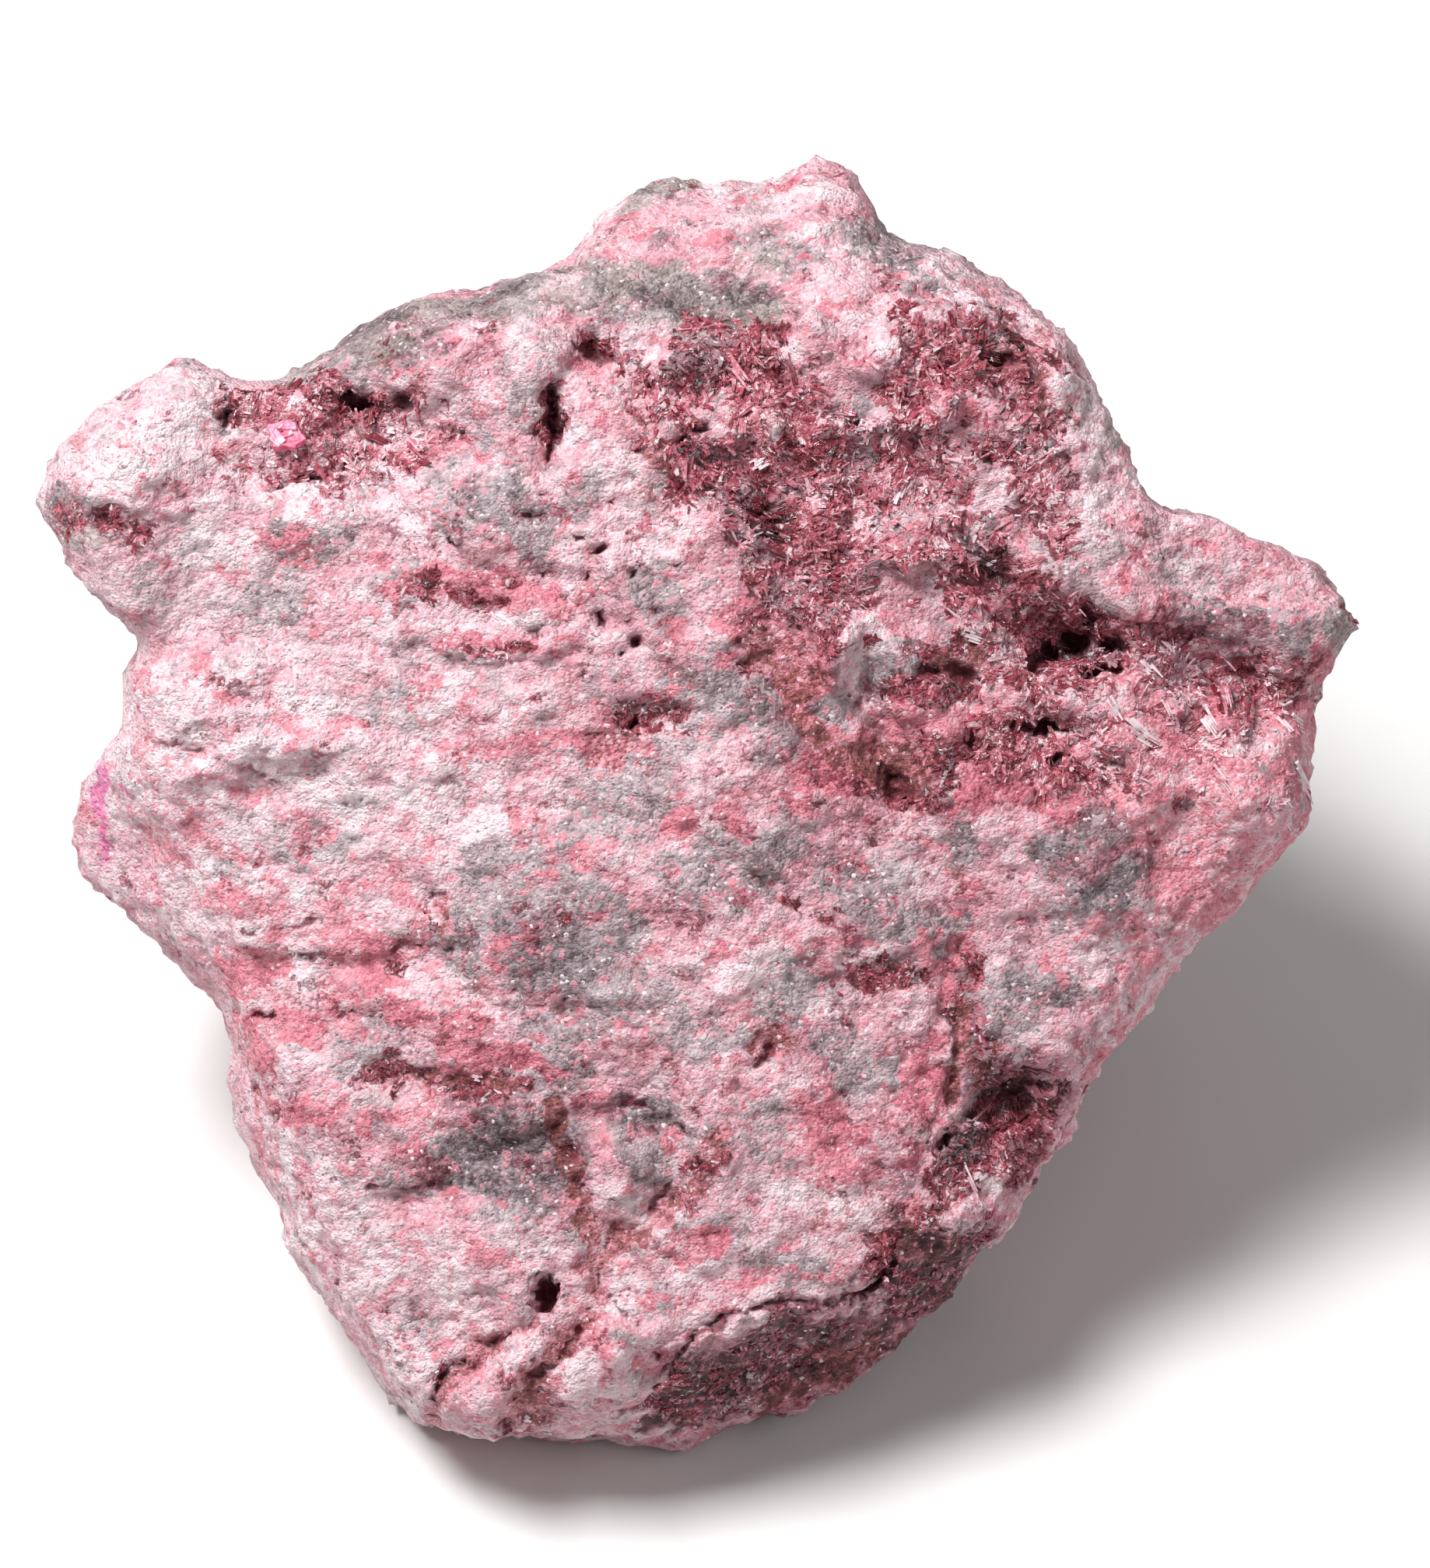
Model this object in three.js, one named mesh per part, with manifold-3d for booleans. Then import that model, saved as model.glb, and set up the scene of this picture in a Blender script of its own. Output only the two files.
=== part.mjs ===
// A hand-sized roselite specimen: a wedge-shaped chunk of granular pink and grey rock whose hollows
// are lined with dark red bladed crystals. Millimetres, +Z up, standing on its broken underside.
// The chunk is drawn in a face frame first: a to the right, b up the broad face, c out of the face.
// It is then leaned back, cut flat where it rests, and centred over the origin.

import * as THREE from 'three';
import { mergeVertices } from 'three/addons/utils/BufferGeometryUtils.js';
import { ConvexGeometry } from 'three/addons/geometries/ConvexGeometry.js';
import Module from 'manifold-3d';

const { clamp, degToRad, lerp, smoothstep } = THREE.MathUtils;
const wasm = await Module();
wasm.setup();

// Driving dimensions
const leanBack = 42; // degrees that the broad face leans back from upright
const middle = { a: -1.2, b: 0.5 }; // the point of the broad face that everything is laid out around
const thinnest = 3.5; // least height of the face's broken planes over the rim
const backDepth = 50; // how far the unseen side reaches behind the rim
const restDrop = 36.7; // from the face frame's origin down to the flat underside
const faceRings = 23; // rings of facets on the broad face, and on the unseen side
const backRings = 14;
const rimStep = 3.2; // longest edge along the rim
const rimSharpness = 24; // a larger power keeps the face high until closer to the rim
const rimRing = 0.4; // the last ring before the rim lies closer to it than the rings to each other
const faceRoughness = 0.9;
const backRoughness = 2.1;
const rimWander = 3.2; // how far the rim swings before and behind its plane
const crowdReach = 2.6; // facets are drawn in towards a crease from this far away, by this share
const crowdPull = 0.65;
const crowdFade = [0.86, 0.97]; // but less and less on the way out to the rim
const creaseBlend = 1.5; // softness of the edges between the face's broken planes
const backBulge = { share: 2.3, depth: 0.55 }; // smaller powers make the unseen side more pointed
const crustThickness = 1.7;
const crustRise = 0.45; // how far a crust's bed stands above the rock around it
const crustRelief = 1.6; // height of the small facets of a crust's bed
const crustGap = 0.3;

// The rim of the broad face, clockwise from the peak
const outline = [
  [8.1, 50.6], [10.8, 50.3], [12.1, 48.0], [13.3, 44.9], [15.9, 43.4], [19.3, 42.9], [22.6, 41.1],
  [25.6, 38.6], [28.1, 36.4], [29.8, 33.4], [31.1, 30.3], [33.5, 26.7], [34.9, 22.9], [37.1, 21.8],
  [41.0, 21.5], [42.4, 20.0], [45.8, 18.6], [48.3, 18.0], [50.9, 14.8], [52.1, 12.9], [49.9, 10.7],
  [48.6, 8.1], [48.1, 4.6], [47.7, 2.1], [47.9, -3.4], [45.2, -5.8], [42.8, -9.0], [39.3, -12.6],
  [36.3, -15.3], [34.7, -18.1], [31.3, -21.7], [29.5, -25.3], [28.1, -28.8], [25.9, -31.9],
  [23.9, -35.3], [21.0, -38.1], [18.6, -42.3], [15.5, -44.6], [11.1, -48.0], [6.8, -50.8],
  [0.8, -51.8], [-2.4, -53.6], [-6.8, -52.8], [-11.9, -52.8], [-17.4, -52.8], [-23.4, -51.9],
  [-26.2, -49.4], [-29.3, -44.8], [-32.5, -40.3], [-34.7, -38.1], [-34.9, -33.9], [-37.2, -30.4],
  [-38.9, -24.8], [-38.9, -21.3], [-40.0, -17.9], [-44.0, -14.1], [-47.9, -10.2], [-50.9, -7.4],
  [-51.6, -3.3], [-50.3, 1.4], [-48.1, 3.8], [-47.1, 6.8], [-47.4, 9.6], [-45.1, 10.2],
  [-46.6, 12.9], [-50.3, 14.8], [-52.7, 19.8], [-54.5, 22.8], [-53.3, 25.5], [-50.3, 29.9],
  [-47.6, 31.7], [-44.4, 33.4], [-42.8, 34.3], [-40.4, 32.9], [-35.7, 32.3], [-32.5, 33.9],
  [-30.1, 35.1], [-27.1, 37.0], [-23.3, 39.1], [-18.3, 39.7], [-13.9, 41.1], [-11.5, 42.4],
  [-8.9, 46.0], [-5.2, 48.9], [-2.3, 49.4], [-0.7, 48.6], [1.3, 49.6], [2.6, 48.8], [5.0, 48.9],
];

// Broken planes of the face. Each passes through a point at a height and falls towards a direction
const faceFacets = [
  { at: [-8, 0], height: 15.5, toward: [-1, 0.2], fall: 0.12 }, // wide left half
  { at: [10, 0], height: 15.5, toward: [1, -0.35], fall: 0.15 }, // right half
  { at: [2, 38], height: 12.5, toward: [-0.1, 1], fall: 0.5 }, // slope up to the peak
  { at: [-21, 35.2], height: 12.8, toward: [-0.26, 0.97], fall: 1.2 }, // sandy bevel along the upper left
  { at: [34.5, -18.5], height: 10.8, toward: [0.83, -0.56], fall: 0.85 }, // smooth edge at the lower right
  { at: [5, -41.6], height: 13.8, toward: [0.41, -0.91], fall: 1.6 }, // undercut at the foot
  { at: [-29.5, -37.5], height: 13.6, toward: [-0.96, -0.28], fall: 1.1 }, // lower left side
];

// The smooth broken plane at the right, left of its border as the border is walked. It runs from the
// ridge beside the crystals down to the tip of the ledge, and its border ends along the ledge's lip
const shelf = {
  at: [33, 14], height: 12.2, toward: [0.99, 0.12], fall: 0.31, edge: 1.2, rimSharpness: 80,
  border: [[24.6, 39.8], [26.9, 33], [28.4, 26], [29.6, 20.5], [31.4, 16.6], [33, 14], [39, 13.7],
    [53, 12.4]],
};

// Broken planes of the unseen side: a direction out of the chunk, and how far out the plane lies
const backFacets = [
  { toward: [0, 0.11, -0.99], reach: 40 }, // steep back
  { toward: [-0.72, 0.28, -0.63], reach: 45.5 },
  { toward: [0.7, 0.22, -0.68], reach: 41.5 },
  { toward: [-0.15, 0.78, -0.6], reach: 39.5 },
  { toward: [0.36, 0.66, -0.66], reach: 37.5 },
  { toward: [-0.62, -0.4, -0.68], reach: 41 },
  { toward: [0.66, -0.4, -0.64], reach: 37 },
];

// Rounded swellings and hollows of the face: centre, half width, half height, rise, and turn in degrees
const swellings = [
  { a: -47.5, b: 24, wide: 7.5, high: 8, rise: 3.5, turn: 0 }, // left knob
  { a: -29.5, b: 27, wide: 11, high: 5, rise: -4.2, turn: -4 }, // left pocket
  { a: -41, b: 13, wide: 6, high: 4, rise: -2, turn: 20 },
  { a: -18, b: 22, wide: 5.5, high: 5, rise: 1.4, turn: 0 }, // grey pitted knob
  { a: -7, b: 27.5, wide: 4.5, high: 4, rise: 1.3, turn: 0 }, // warm pink knob
  { a: -43, b: 1.5, wide: 8, high: 5, rise: 2, turn: 0 }, // left cheek
  { a: -29, b: -1.2, wide: 4, high: 1.7, rise: -1.6, turn: -10 },
  { a: 12, b: 27, wide: 17, high: 12, rise: -3.6, turn: -38 }, // wide crystal hollow
  { a: 10, b: 36, wide: 3.4, high: 5, rise: 2.2, turn: 12 }, // pale tongue between the crystals
  { a: 5, b: 46, wide: 6.5, high: 3.2, rise: 1.6, turn: -8 }, // peak
  { a: -3, b: 38.5, wide: 7, high: 2.8, rise: -1, turn: 5 }, // grey saddle
  { a: 28, b: 10.8, wide: 5, high: 2.9, rise: -6.5, turn: -12 }, // deep pits
  { a: 11, b: 11.2, wide: 3.4, high: 2.8, rise: 2.2, turn: 0 },
  { a: 15.5, b: 8.6, wide: 2.8, high: 3, rise: 1.6, turn: 0 },
  { a: 20.2, b: 8.4, wide: 2.4, high: 2, rise: -1.4, turn: 0 },
  { a: 40, b: 7.6, wide: 9, high: 5, rise: -4.4, turn: -8 }, // bay under the ledge
  { a: 43.5, b: -1, wide: 4.5, high: 4.5, rise: 1.6, turn: 0 },
  { a: 29.4, b: -7, wide: 5.5, high: 5.5, rise: 1.7, turn: 0 }, // grey lump
  { a: 36, b: -5, wide: 2, high: 3.5, rise: -1.3, turn: -25 },
  { a: 22.2, b: -27, wide: 5.6, high: 4.8, rise: -5, turn: 25 }, // cavity
  { a: -4.6, b: 4.2, wide: 4.5, high: 1.9, rise: -1.6, turn: -8 }, // reddish bed
  { a: -12.5, b: -11.5, wide: 8, high: 7, rise: 0.9, turn: 0 }, // grey middle
  { a: -18, b: -29.5, wide: 5.5, high: 3.6, rise: -1.7, turn: -18 }, // dark grey hollow
  { a: 4, b: -26, wide: 6, high: 6, rise: 1.1, turn: 0 },
  { a: -15, b: -45, wide: 4.5, high: 4, rise: 1.2, turn: 0 },
  { a: -6, b: -45, wide: 3.2, high: 4.5, rise: 1.3, turn: 0 },
  { a: -27, b: -42, wide: 4, high: 6, rise: 1, turn: 15 },
  { a: 17.5, b: -37.5, wide: 3, high: 2.2, rise: -1.5, turn: 25 }, // nook under the step
];

// Cracks and grooves: a path along the face, half width and depth
const grooves = [
  { path: [[-8.2, 35.2], [-9.8, 33.4], [-12.4, 31.2], [-12.9, 28.6], [-12.7, 26.2]], wide: 1.6, deep: 2.2 },
  { path: [[-37, 25.2], [-33, 23.8], [-28.5, 24.4]], wide: 1.4, deep: 1.1 },
  { path: [[-46.5, 4.6], [-41, 3.2], [-36.5, 1.2], [-31, -0.4]], wide: 1.5, deep: 1.4 },
  { path: [[11.6, 8.4], [12.3, 6.2], [14.4, 3.4], [14.6, -0.6]], wide: 1.9, deep: 2.7 },
  { path: [[19.6, 5], [23.2, 4.7], [28.6, 4.1], [31.4, 1.2]], wide: 1.8, deep: 2.4 },
  { path: [[20.2, -13.2], [19.6, -17.5], [18.3, -23.5]], wide: 1.8, deep: 1.8 },
  { path: [[12, -14.4], [16, -15], [19.6, -14.6]], wide: 1.8, deep: 1.3 },
  { path: [[-22.3, -8.6], [-20.6, -12.1], [-19.9, -15.8], [-15.6, -16.8], [-11.2, -17.2]],
    wide: 1.3, deep: 1 },
  { path: [[-29, -23.4], [-23, -23.8], [-15, -23.2]], wide: 1.9, deep: 1.5 },
  { path: [[-10.8, -25], [-6.2, -24.8], [-2.4, -26.6], [-3.2, -31.2], [-8, -35], [-9.3, -38], [-7, -40.2]],
    wide: 1.6, deep: 1.7 },
  { path: [[-12.4, -25.8], [-11.2, -30], [-10.8, -34.6]], wide: 1.6, deep: 1.3 },
  { path: [[-7, -40.2], [-4.9, -42.2], [-4.4, -46]], wide: 1.2, deep: 1.2 },
  { path: [[-13.2, -38.2], [-14, -40.6], [-18.6, -43.9], [-21.2, -46.6], [-22.3, -50.4]],
    wide: 1.8, deep: 2.2 },
  { path: [[-10.6, -41.4], [-11.2, -44.5], [-14.5, -47.2], [-16.2, -50]], wide: 1.6, deep: 1.8 },
  { path: [[-35, -30.6], [-29, -31.6], [-23, -32.6]], wide: 1.6, deep: 1.2 },
  { path: [[-41, -15.2], [-35, -17.2], [-29, -17]], wide: 1.5, deep: 0.9 },
];

// Raised edges of the face
const crests = [
  { path: [[25.4, 37.6], [26.9, 33], [28.4, 26], [29.6, 20.5], [31.4, 16.6], [33, 14]],
    wide: 1.8, deep: -0.9 },
  { path: [[-47, 7.4], [-41, 5.6], [-35.5, 3.6], [-29, 1.6], [-22.4, -0.4]], wide: 2.6, deep: -1.5 },
  { path: [[-3.7, -45], [-1.2, -42], [4.5, -39.6], [9, -40.2], [13.6, -37.6], [14.2, -34.2], [19, -32.8]],
    wide: 2, deep: -1.2 },
  { path: [[-43.5, 31.6], [-40.6, 30.2]], wide: 1.8, deep: -1.4 },
  { path: [[34, 14.1], [39, 13.7], [50, 12.7]], wide: 1.4, deep: -0.3 }, // lip of the right ledge
];

// Stepped ground at the lower left: whole up to one place, and gone beyond the other
const terraces = {
  whole: { a: -24, b: -14 }, gone: { a: -12, b: -4 }, height: 1.6, size: 4.6, stretch: 0.35,
};

// Small deep pits, cut one by one: centre, half width, half height, depth, turn in degrees
const pits = [
  { a: -9.3, b: 18, wide: 1.5, high: 0.8, deep: 2.6, turn: -15 },
  { a: -9.1, b: 13, wide: 0.9, high: 0.9, deep: 2.2, turn: 30 },
  { a: -6.4, b: 11.2, wide: 0.9, high: 0.8, deep: 2, turn: 0 },
  { a: -20.9, b: 19.9, wide: 0.8, high: 0.9, deep: 2, turn: 0 },
  { a: -16.8, b: 24.3, wide: 0.8, high: 0.8, deep: 1.8, turn: 40 },
  { a: -13.7, b: -39.4, wide: 1, high: 1.8, deep: 4, turn: 10 },
  { a: -4.4, b: 5, wide: 1.6, high: 0.8, deep: 2.2, turn: -5 },
  { a: 13, b: 5.2, wide: 1, high: 1.5, deep: 2.6, turn: 35 },
  { a: -12.4, b: -10.1, wide: 1.1, high: 0.9, deep: 1.6, turn: 10 },
];

// Crystal-lined hollows: the border of each around its own middle, and the sprays of blades in it
const crusts = [
  {
    name: 'field_crystals', colour: 0x8e4652, a: 12, b: 25.5, sectors: 32, rings: 3, seed: 11,
    border: [[-4.8, 33.4], [-2.4, 36], [1.6, 35.2], [4.6, 38.6], [7, 37.6], [8.8, 33.6], [12, 32.6],
      [13.4, 36.6], [17.6, 38], [21.4, 37.2], [23.8, 35.4], [24.6, 31.5], [26, 27.4], [26.4, 23.6],
      [28.2, 19.6], [29.2, 16.4], [26.4, 14.6], [22.6, 14.6], [19.4, 12.8], [16.8, 14.2], [12, 16.4],
      [8.6, 15.8], [5, 18.6], [1, 19], [-1.4, 21.8], [-4.8, 24.6], [-3.6, 28], [-5.4, 30.4]],
    blades: 25, length: [4.5, 9], width: [1.4, 2.3], lift: [8, 34],
  },
  {
    name: 'flank_crystals', colour: 0xa8566a, a: 32.5, b: 6, sectors: 26, rings: 2, seed: 24,
    border: [[23.2, 9.2], [24.8, 11.4], [28.6, 12.2], [31.4, 11.8], [32.8, 10], [36, 9.4], [38.8, 10.4],
      [41.8, 9.6], [44.4, 8.8], [43.6, 6], [45, 3.4], [44.4, -0.4], [41.6, -1.8], [38.6, 0.2], [35, -1.2],
      [31.2, 1.4], [27.4, 0.2], [24.2, 2.2], [21.2, 3], [20.4, 6.2], [22.6, 7.6]],
    blades: 11, length: [3.5, 6.5], width: [1.2, 1.9], lift: [15, 45],
  },
  {
    name: 'pocket_crystals', colour: 0x8a3f50, a: -29.5, b: 26.8, sectors: 20, rings: 1, seed: 41,
    border: [[-38.8, 28.4], [-36.6, 29.8], [-32.4, 30], [-28, 30.6], [-22.4, 30.2], [-19.9, 29.2],
      [-20.4, 27.2], [-22.6, 25], [-26, 25.2], [-28.6, 23.2], [-32.4, 22.6], [-36, 23.4], [-38.4, 25.6]],
    blades: 9, length: [3, 5.2], width: [1.1, 1.7], lift: [15, 45],
    cleaved: { a: -34.4, b: 27.4, side: 3, turn: 25 },
  },
  {
    name: 'cavity_crystals', colour: 0x7a3841, a: 21.6, b: -27, sectors: 14, rings: 1, seed: 53,
    border: [[17.9, -26.8], [19.4, -24.3], [22.4, -22.9], [24.6, -23], [25.2, -25.6], [24.4, -28.8],
      [22.4, -30.8], [19.4, -30.8], [18, -29.4]],
    blades: 7, length: [3, 4.6], width: [0.9, 1.5], lift: [20, 55],
  },
];

// A repeatable number from 0 to 1 for whole-number places
function hash(x, y, z) {
  let mixed = Math.imul(x, 374761393) ^ Math.imul(y, 668265263) ^ Math.imul(z, 1274126177);
  mixed = Math.imul(mixed ^ (mixed >>> 13), 1103515245);
  mixed = Math.imul(mixed ^ (mixed >>> 15), 2246822519);
  return ((mixed ^ (mixed >>> 16)) >>> 0) / 4294967295;
}

function smooth(low, high, value) {
  return smoothstep(value, low, high);
}

// Rolling noise from -1 to 1, one lump to a cell of the given size
function noise(x, y, z, cell) {
  const place = [x / cell, y / cell, z / cell];
  const whole = place.map(Math.floor);
  const part = place.map((value, i) => smooth(0, 1, value - whole[i]));
  let total = 0;
  for (let corner = 0; corner < 8; corner += 1) {
    const step = [corner & 1, (corner >> 1) & 1, corner >> 2];
    const weight = step.reduce((product, on, i) => product * (on ? part[i] : 1 - part[i]), 1);
    total += weight * hash(whole[0] + step[0], whole[1] + step[1], whole[2] + step[2]);
  }
  return 2 * total - 1;
}

// Rock noise: broad lumps, smaller lumps with sharp crests, and a grain
function rockNoise(x, y, z) {
  const broad = noise(x, y, z, 13);
  const crested = 0.7 - 2 * Math.abs(noise(x + 40, y, z + 9, 6.5));
  const grain = noise(x, y + 70, z, 2.7);
  return 0.9 * broad + 0.55 * crested + 0.4 * grain;
}

// The lower of two heights, with the crease between them softened over a blend
function lower(first, second, blend) {
  const share = clamp(0.5 + (0.5 * (second - first)) / blend, 0, 1);
  return lerp(second, first, share) - blend * share * (1 - share);
}

// The closest place on a path; its turn is above 0 where the path is passed on its left side
function nearestOnPath(a, b, path) {
  let nearest = { distance: Infinity, turn: 0, a, b };
  for (let i = 0; i + 1 < path.length; i += 1) {
    const [fromA, fromB] = path[i];
    const runA = path[i + 1][0] - fromA;
    const runB = path[i + 1][1] - fromB;
    const along = ((a - fromA) * runA + (b - fromB) * runB) / (runA * runA + runB * runB);
    const part = clamp(along, 0, 1);
    const foot = { a: fromA + part * runA, b: fromB + part * runB };
    const distance = Math.hypot(a - foot.a, b - foot.b);
    const turn = Math.sign(runA * (b - fromB) - runB * (a - fromA));
    if (distance < nearest.distance) nearest = { distance, turn, ...foot };
  }
  return nearest;
}

// How far a closed border lies from its middle in one direction. The slack is for a corner hit head on
function borderReach(border, from, angle) {
  const slack = 1e-9;
  const alongA = Math.cos(angle);
  const alongB = Math.sin(angle);
  let reach = 0;
  for (let i = 0; i < border.length; i += 1) {
    const startA = border[i][0] - from.a;
    const startB = border[i][1] - from.b;
    const next = border[(i + 1) % border.length];
    const runA = next[0] - from.a - startA;
    const runB = next[1] - from.b - startB;
    const slant = alongA * runB - alongB * runA;
    const hit = (startA * runB - startB * runA) / slant;
    const part = (startA * alongB - startB * alongA) / slant;
    if (part >= -slack && part <= 1 + slack && hit > reach) reach = hit;
  }
  return reach;
}

// 0 at a border's middle and 1 on the border
function shareOf(border, from, a, b) {
  const distance = Math.hypot(a - from.a, b - from.b);
  if (distance < 1e-6) return 0;
  return distance / borderReach(border, from, Math.atan2(b - from.b, a - from.a));
}

function facetHeight(facet, a, b) {
  const along = (a - facet.at[0]) * facet.toward[0] + (b - facet.at[1]) * facet.toward[1];
  return facet.height - (facet.fall * along) / Math.hypot(...facet.toward);
}

// A swelling fades out a third beyond its half width and half height
function swellingHeight(swelling, a, b) {
  const turn = degToRad(swelling.turn);
  const offA = a - swelling.a;
  const offB = b - swelling.b;
  const across = (offA * Math.cos(turn) + offB * Math.sin(turn)) / swelling.wide;
  const up = (offB * Math.cos(turn) - offA * Math.sin(turn)) / swelling.high;
  return swelling.rise * (1 - smooth(0, 1.35, Math.hypot(across, up)));
}

function grooveDepth(groove, a, b) {
  const { distance } = nearestOnPath(a, b, groove.path);
  return groove.deep * (1 - smooth(0, groove.wide, distance));
}

// Height of the broad face over its rim plane
function faceHeight(a, b) {
  const share = Math.min(shareOf(outline, middle, a, b), 1);
  let height = facetHeight(faceFacets[0], a, b);
  for (const facet of faceFacets.slice(1)) height = lower(height, facetHeight(facet, a, b), creaseBlend);
  height = Math.max(height, thinnest);
  for (const swelling of swellings) height += swellingHeight(swelling, a, b);
  const border = nearestOnPath(a, b, shelf.border);
  const onShelf = smooth(-0.3 * shelf.edge, shelf.edge, border.turn * border.distance);
  height = lerp(height, facetHeight(shelf, a, b), onShelf);
  for (const line of [...grooves, ...crests]) height -= grooveDepth(line, a, b);
  const { whole, gone } = terraces;
  const terraced = (1 - smooth(whole.a, gone.a, a)) * (1 - smooth(whole.b, gone.b, b));
  height += terraced * terraces.height * (0.3 - Math.abs(noise(a * terraces.stretch, b, 3, terraces.size)));
  height += faceRoughness * rockNoise(a, b, 5);
  const sharpness = lerp(rimSharpness, shelf.rimSharpness, onShelf);
  return Math.sqrt(1 - share ** sharpness) * Math.max(height, 1);
}

// The rim doesn't lie in one plane
function rimSwing(angle, share) {
  const slow = 0.6 * Math.sin(2 * angle + 2.4) + 0.4 * Math.sin(3 * angle + 0.5);
  const swing = slow + 0.25 * Math.sin(7 * angle);
  return rimWander * swing * share ** 3;
}

function facePoint(angle, share) {
  const reach = borderReach(outline, middle, angle) * share;
  let a = middle.a + reach * Math.cos(angle);
  let b = middle.b + reach * Math.sin(angle);
  const creases = [...grooves, ...crests].map(({ path }) => nearestOnPath(a, b, path));
  const nearest = creases.reduce((best, crease) => (crease.distance < best.distance ? crease : best));
  const closeness = Math.max(1 - nearest.distance / crowdReach, 0);
  const pull = crowdPull * closeness * (1 - smooth(...crowdFade, share));
  a += (nearest.a - a) * pull;
  b += (nearest.b - b) * pull;
  return [a, b, faceHeight(a, b) + rimSwing(angle, share)];
}

function backPoint(angle, share) {
  const reach = borderReach(outline, middle, angle) * share;
  const depth = backDepth * (1 - share ** backBulge.share) ** backBulge.depth;
  const point = new THREE.Vector3(reach * Math.cos(angle), reach * Math.sin(angle), -depth);
  for (const { toward, reach: limit } of backFacets) {
    const out = point.dot(new THREE.Vector3(...toward));
    if (out > limit) point.multiplyScalar(limit / out);
  }
  const rough = rockNoise(point.x + 90, point.y, point.z) * (1 - share ** 8);
  point.multiplyScalar(1 + (backRoughness * rough) / point.length());
  return [point.x + middle.a, point.y + middle.b, point.z + rimSwing(angle, share)];
}

function evenAngles(count) {
  return Array.from({ length: count }, (_, i) => (2 * Math.PI * i) / count - Math.PI);
}

// The rim's own angles: every corner of the outline, and points between corners that lie far apart
function rimAngles() {
  const angles = [];
  for (let i = 0; i < outline.length; i += 1) {
    const next = outline[(i + 1) % outline.length];
    const run = Math.hypot(next[0] - outline[i][0], next[1] - outline[i][1]);
    const parts = Math.ceil(run / rimStep);
    for (let part = 0; part < parts; part += 1) {
      const a = lerp(outline[i][0], next[0], part / parts);
      const b = lerp(outline[i][1], next[1], part / parts);
      angles.push(Math.atan2(b - middle.b, a - middle.a));
    }
  }
  return angles.sort((first, second) => first - second);
}

// Joins two rings of points that both run round from -180 degrees
function stitch(index, inner, outer, facesOut) {
  const angleAt = (ring, i) => (i < ring.angles.length ? ring.angles[i] : ring.angles[0] + 2 * Math.PI);
  const at = (ring, i) => ring.first + (i % ring.angles.length);
  let i = 0;
  let o = 0;
  while (i < inner.angles.length || o < outer.angles.length) {
    const stepOuter = i === inner.angles.length
      || (o < outer.angles.length && angleAt(outer, o + 1) <= angleAt(inner, i + 1));
    const third = stepOuter ? at(outer, o + 1) : at(inner, i + 1);
    const face = [at(inner, i), at(outer, o), third];
    index.push(...(facesOut ? face : face.reverse()));
    if (stepOuter) o += 1;
    else i += 1;
  }
}

// The whole chunk: rings of points on the face and on the back that share the rim
function chunkGeometry() {
  const positions = [];
  const index = [];
  const addRing = (angles, share, pointAt) => {
    const first = positions.length / 3;
    for (const angle of angles) positions.push(...pointAt(angle, share));
    return { first, angles };
  };
  const rim = addRing(rimAngles(), 1, facePoint);
  const addSide = (rings, shareAt, pointAt, facesOut) => {
    const centre = positions.length / 3;
    positions.push(...pointAt(0, 0));
    let inner = addRing(evenAngles(6), shareAt(1), pointAt);
    for (let i = 0; i < 6; i += 1) {
      const face = [centre, inner.first + i, inner.first + ((i + 1) % 6)];
      index.push(...(facesOut ? face : face.reverse()));
    }
    for (let ring = 2; ring < rings; ring += 1) {
      const outer = addRing(evenAngles(6 * ring), shareAt(ring), pointAt);
      stitch(index, inner, outer, facesOut);
      inner = outer;
    }
    stitch(index, inner, rim, facesOut);
  };
  addSide(faceRings, (ring) => (ring / (faceRings - rimRing)) ** 0.85, facePoint, true);
  addSide(backRings, (ring) => Math.sin((0.5 * Math.PI * ring) / backRings), backPoint, false);
  const geometry = new THREE.BufferGeometry();
  geometry.setAttribute('position', new THREE.Float32BufferAttribute(positions, 3));
  geometry.setIndex(index);
  return geometry;
}

// Convex pit cutter that narrows inwards
function pitGeometry(pit) {
  const corners = [];
  const turn = degToRad(pit.turn);
  const floor = faceHeight(pit.a, pit.b) - pit.deep;
  for (let i = 0; i < 6; i += 1) {
    const angle = (i / 6) * 2 * Math.PI + 0.3 * hash(i, 5, 9);
    const spread = 0.85 + 0.3 * hash(i, 2, 7);
    const across = pit.wide * spread * Math.cos(angle);
    const up = pit.high * spread * Math.sin(angle);
    const a = across * Math.cos(turn) - up * Math.sin(turn);
    const b = across * Math.sin(turn) + up * Math.cos(turn);
    corners.push(new THREE.Vector3(pit.a + 1.7 * a, pit.b + 1.7 * b, floor + pit.deep + 2));
    if (i % 2 === 0) corners.push(new THREE.Vector3(pit.a + 0.4 * a, pit.b + 0.4 * b, floor));
  }
  return new ConvexGeometry(corners);
}

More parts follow.
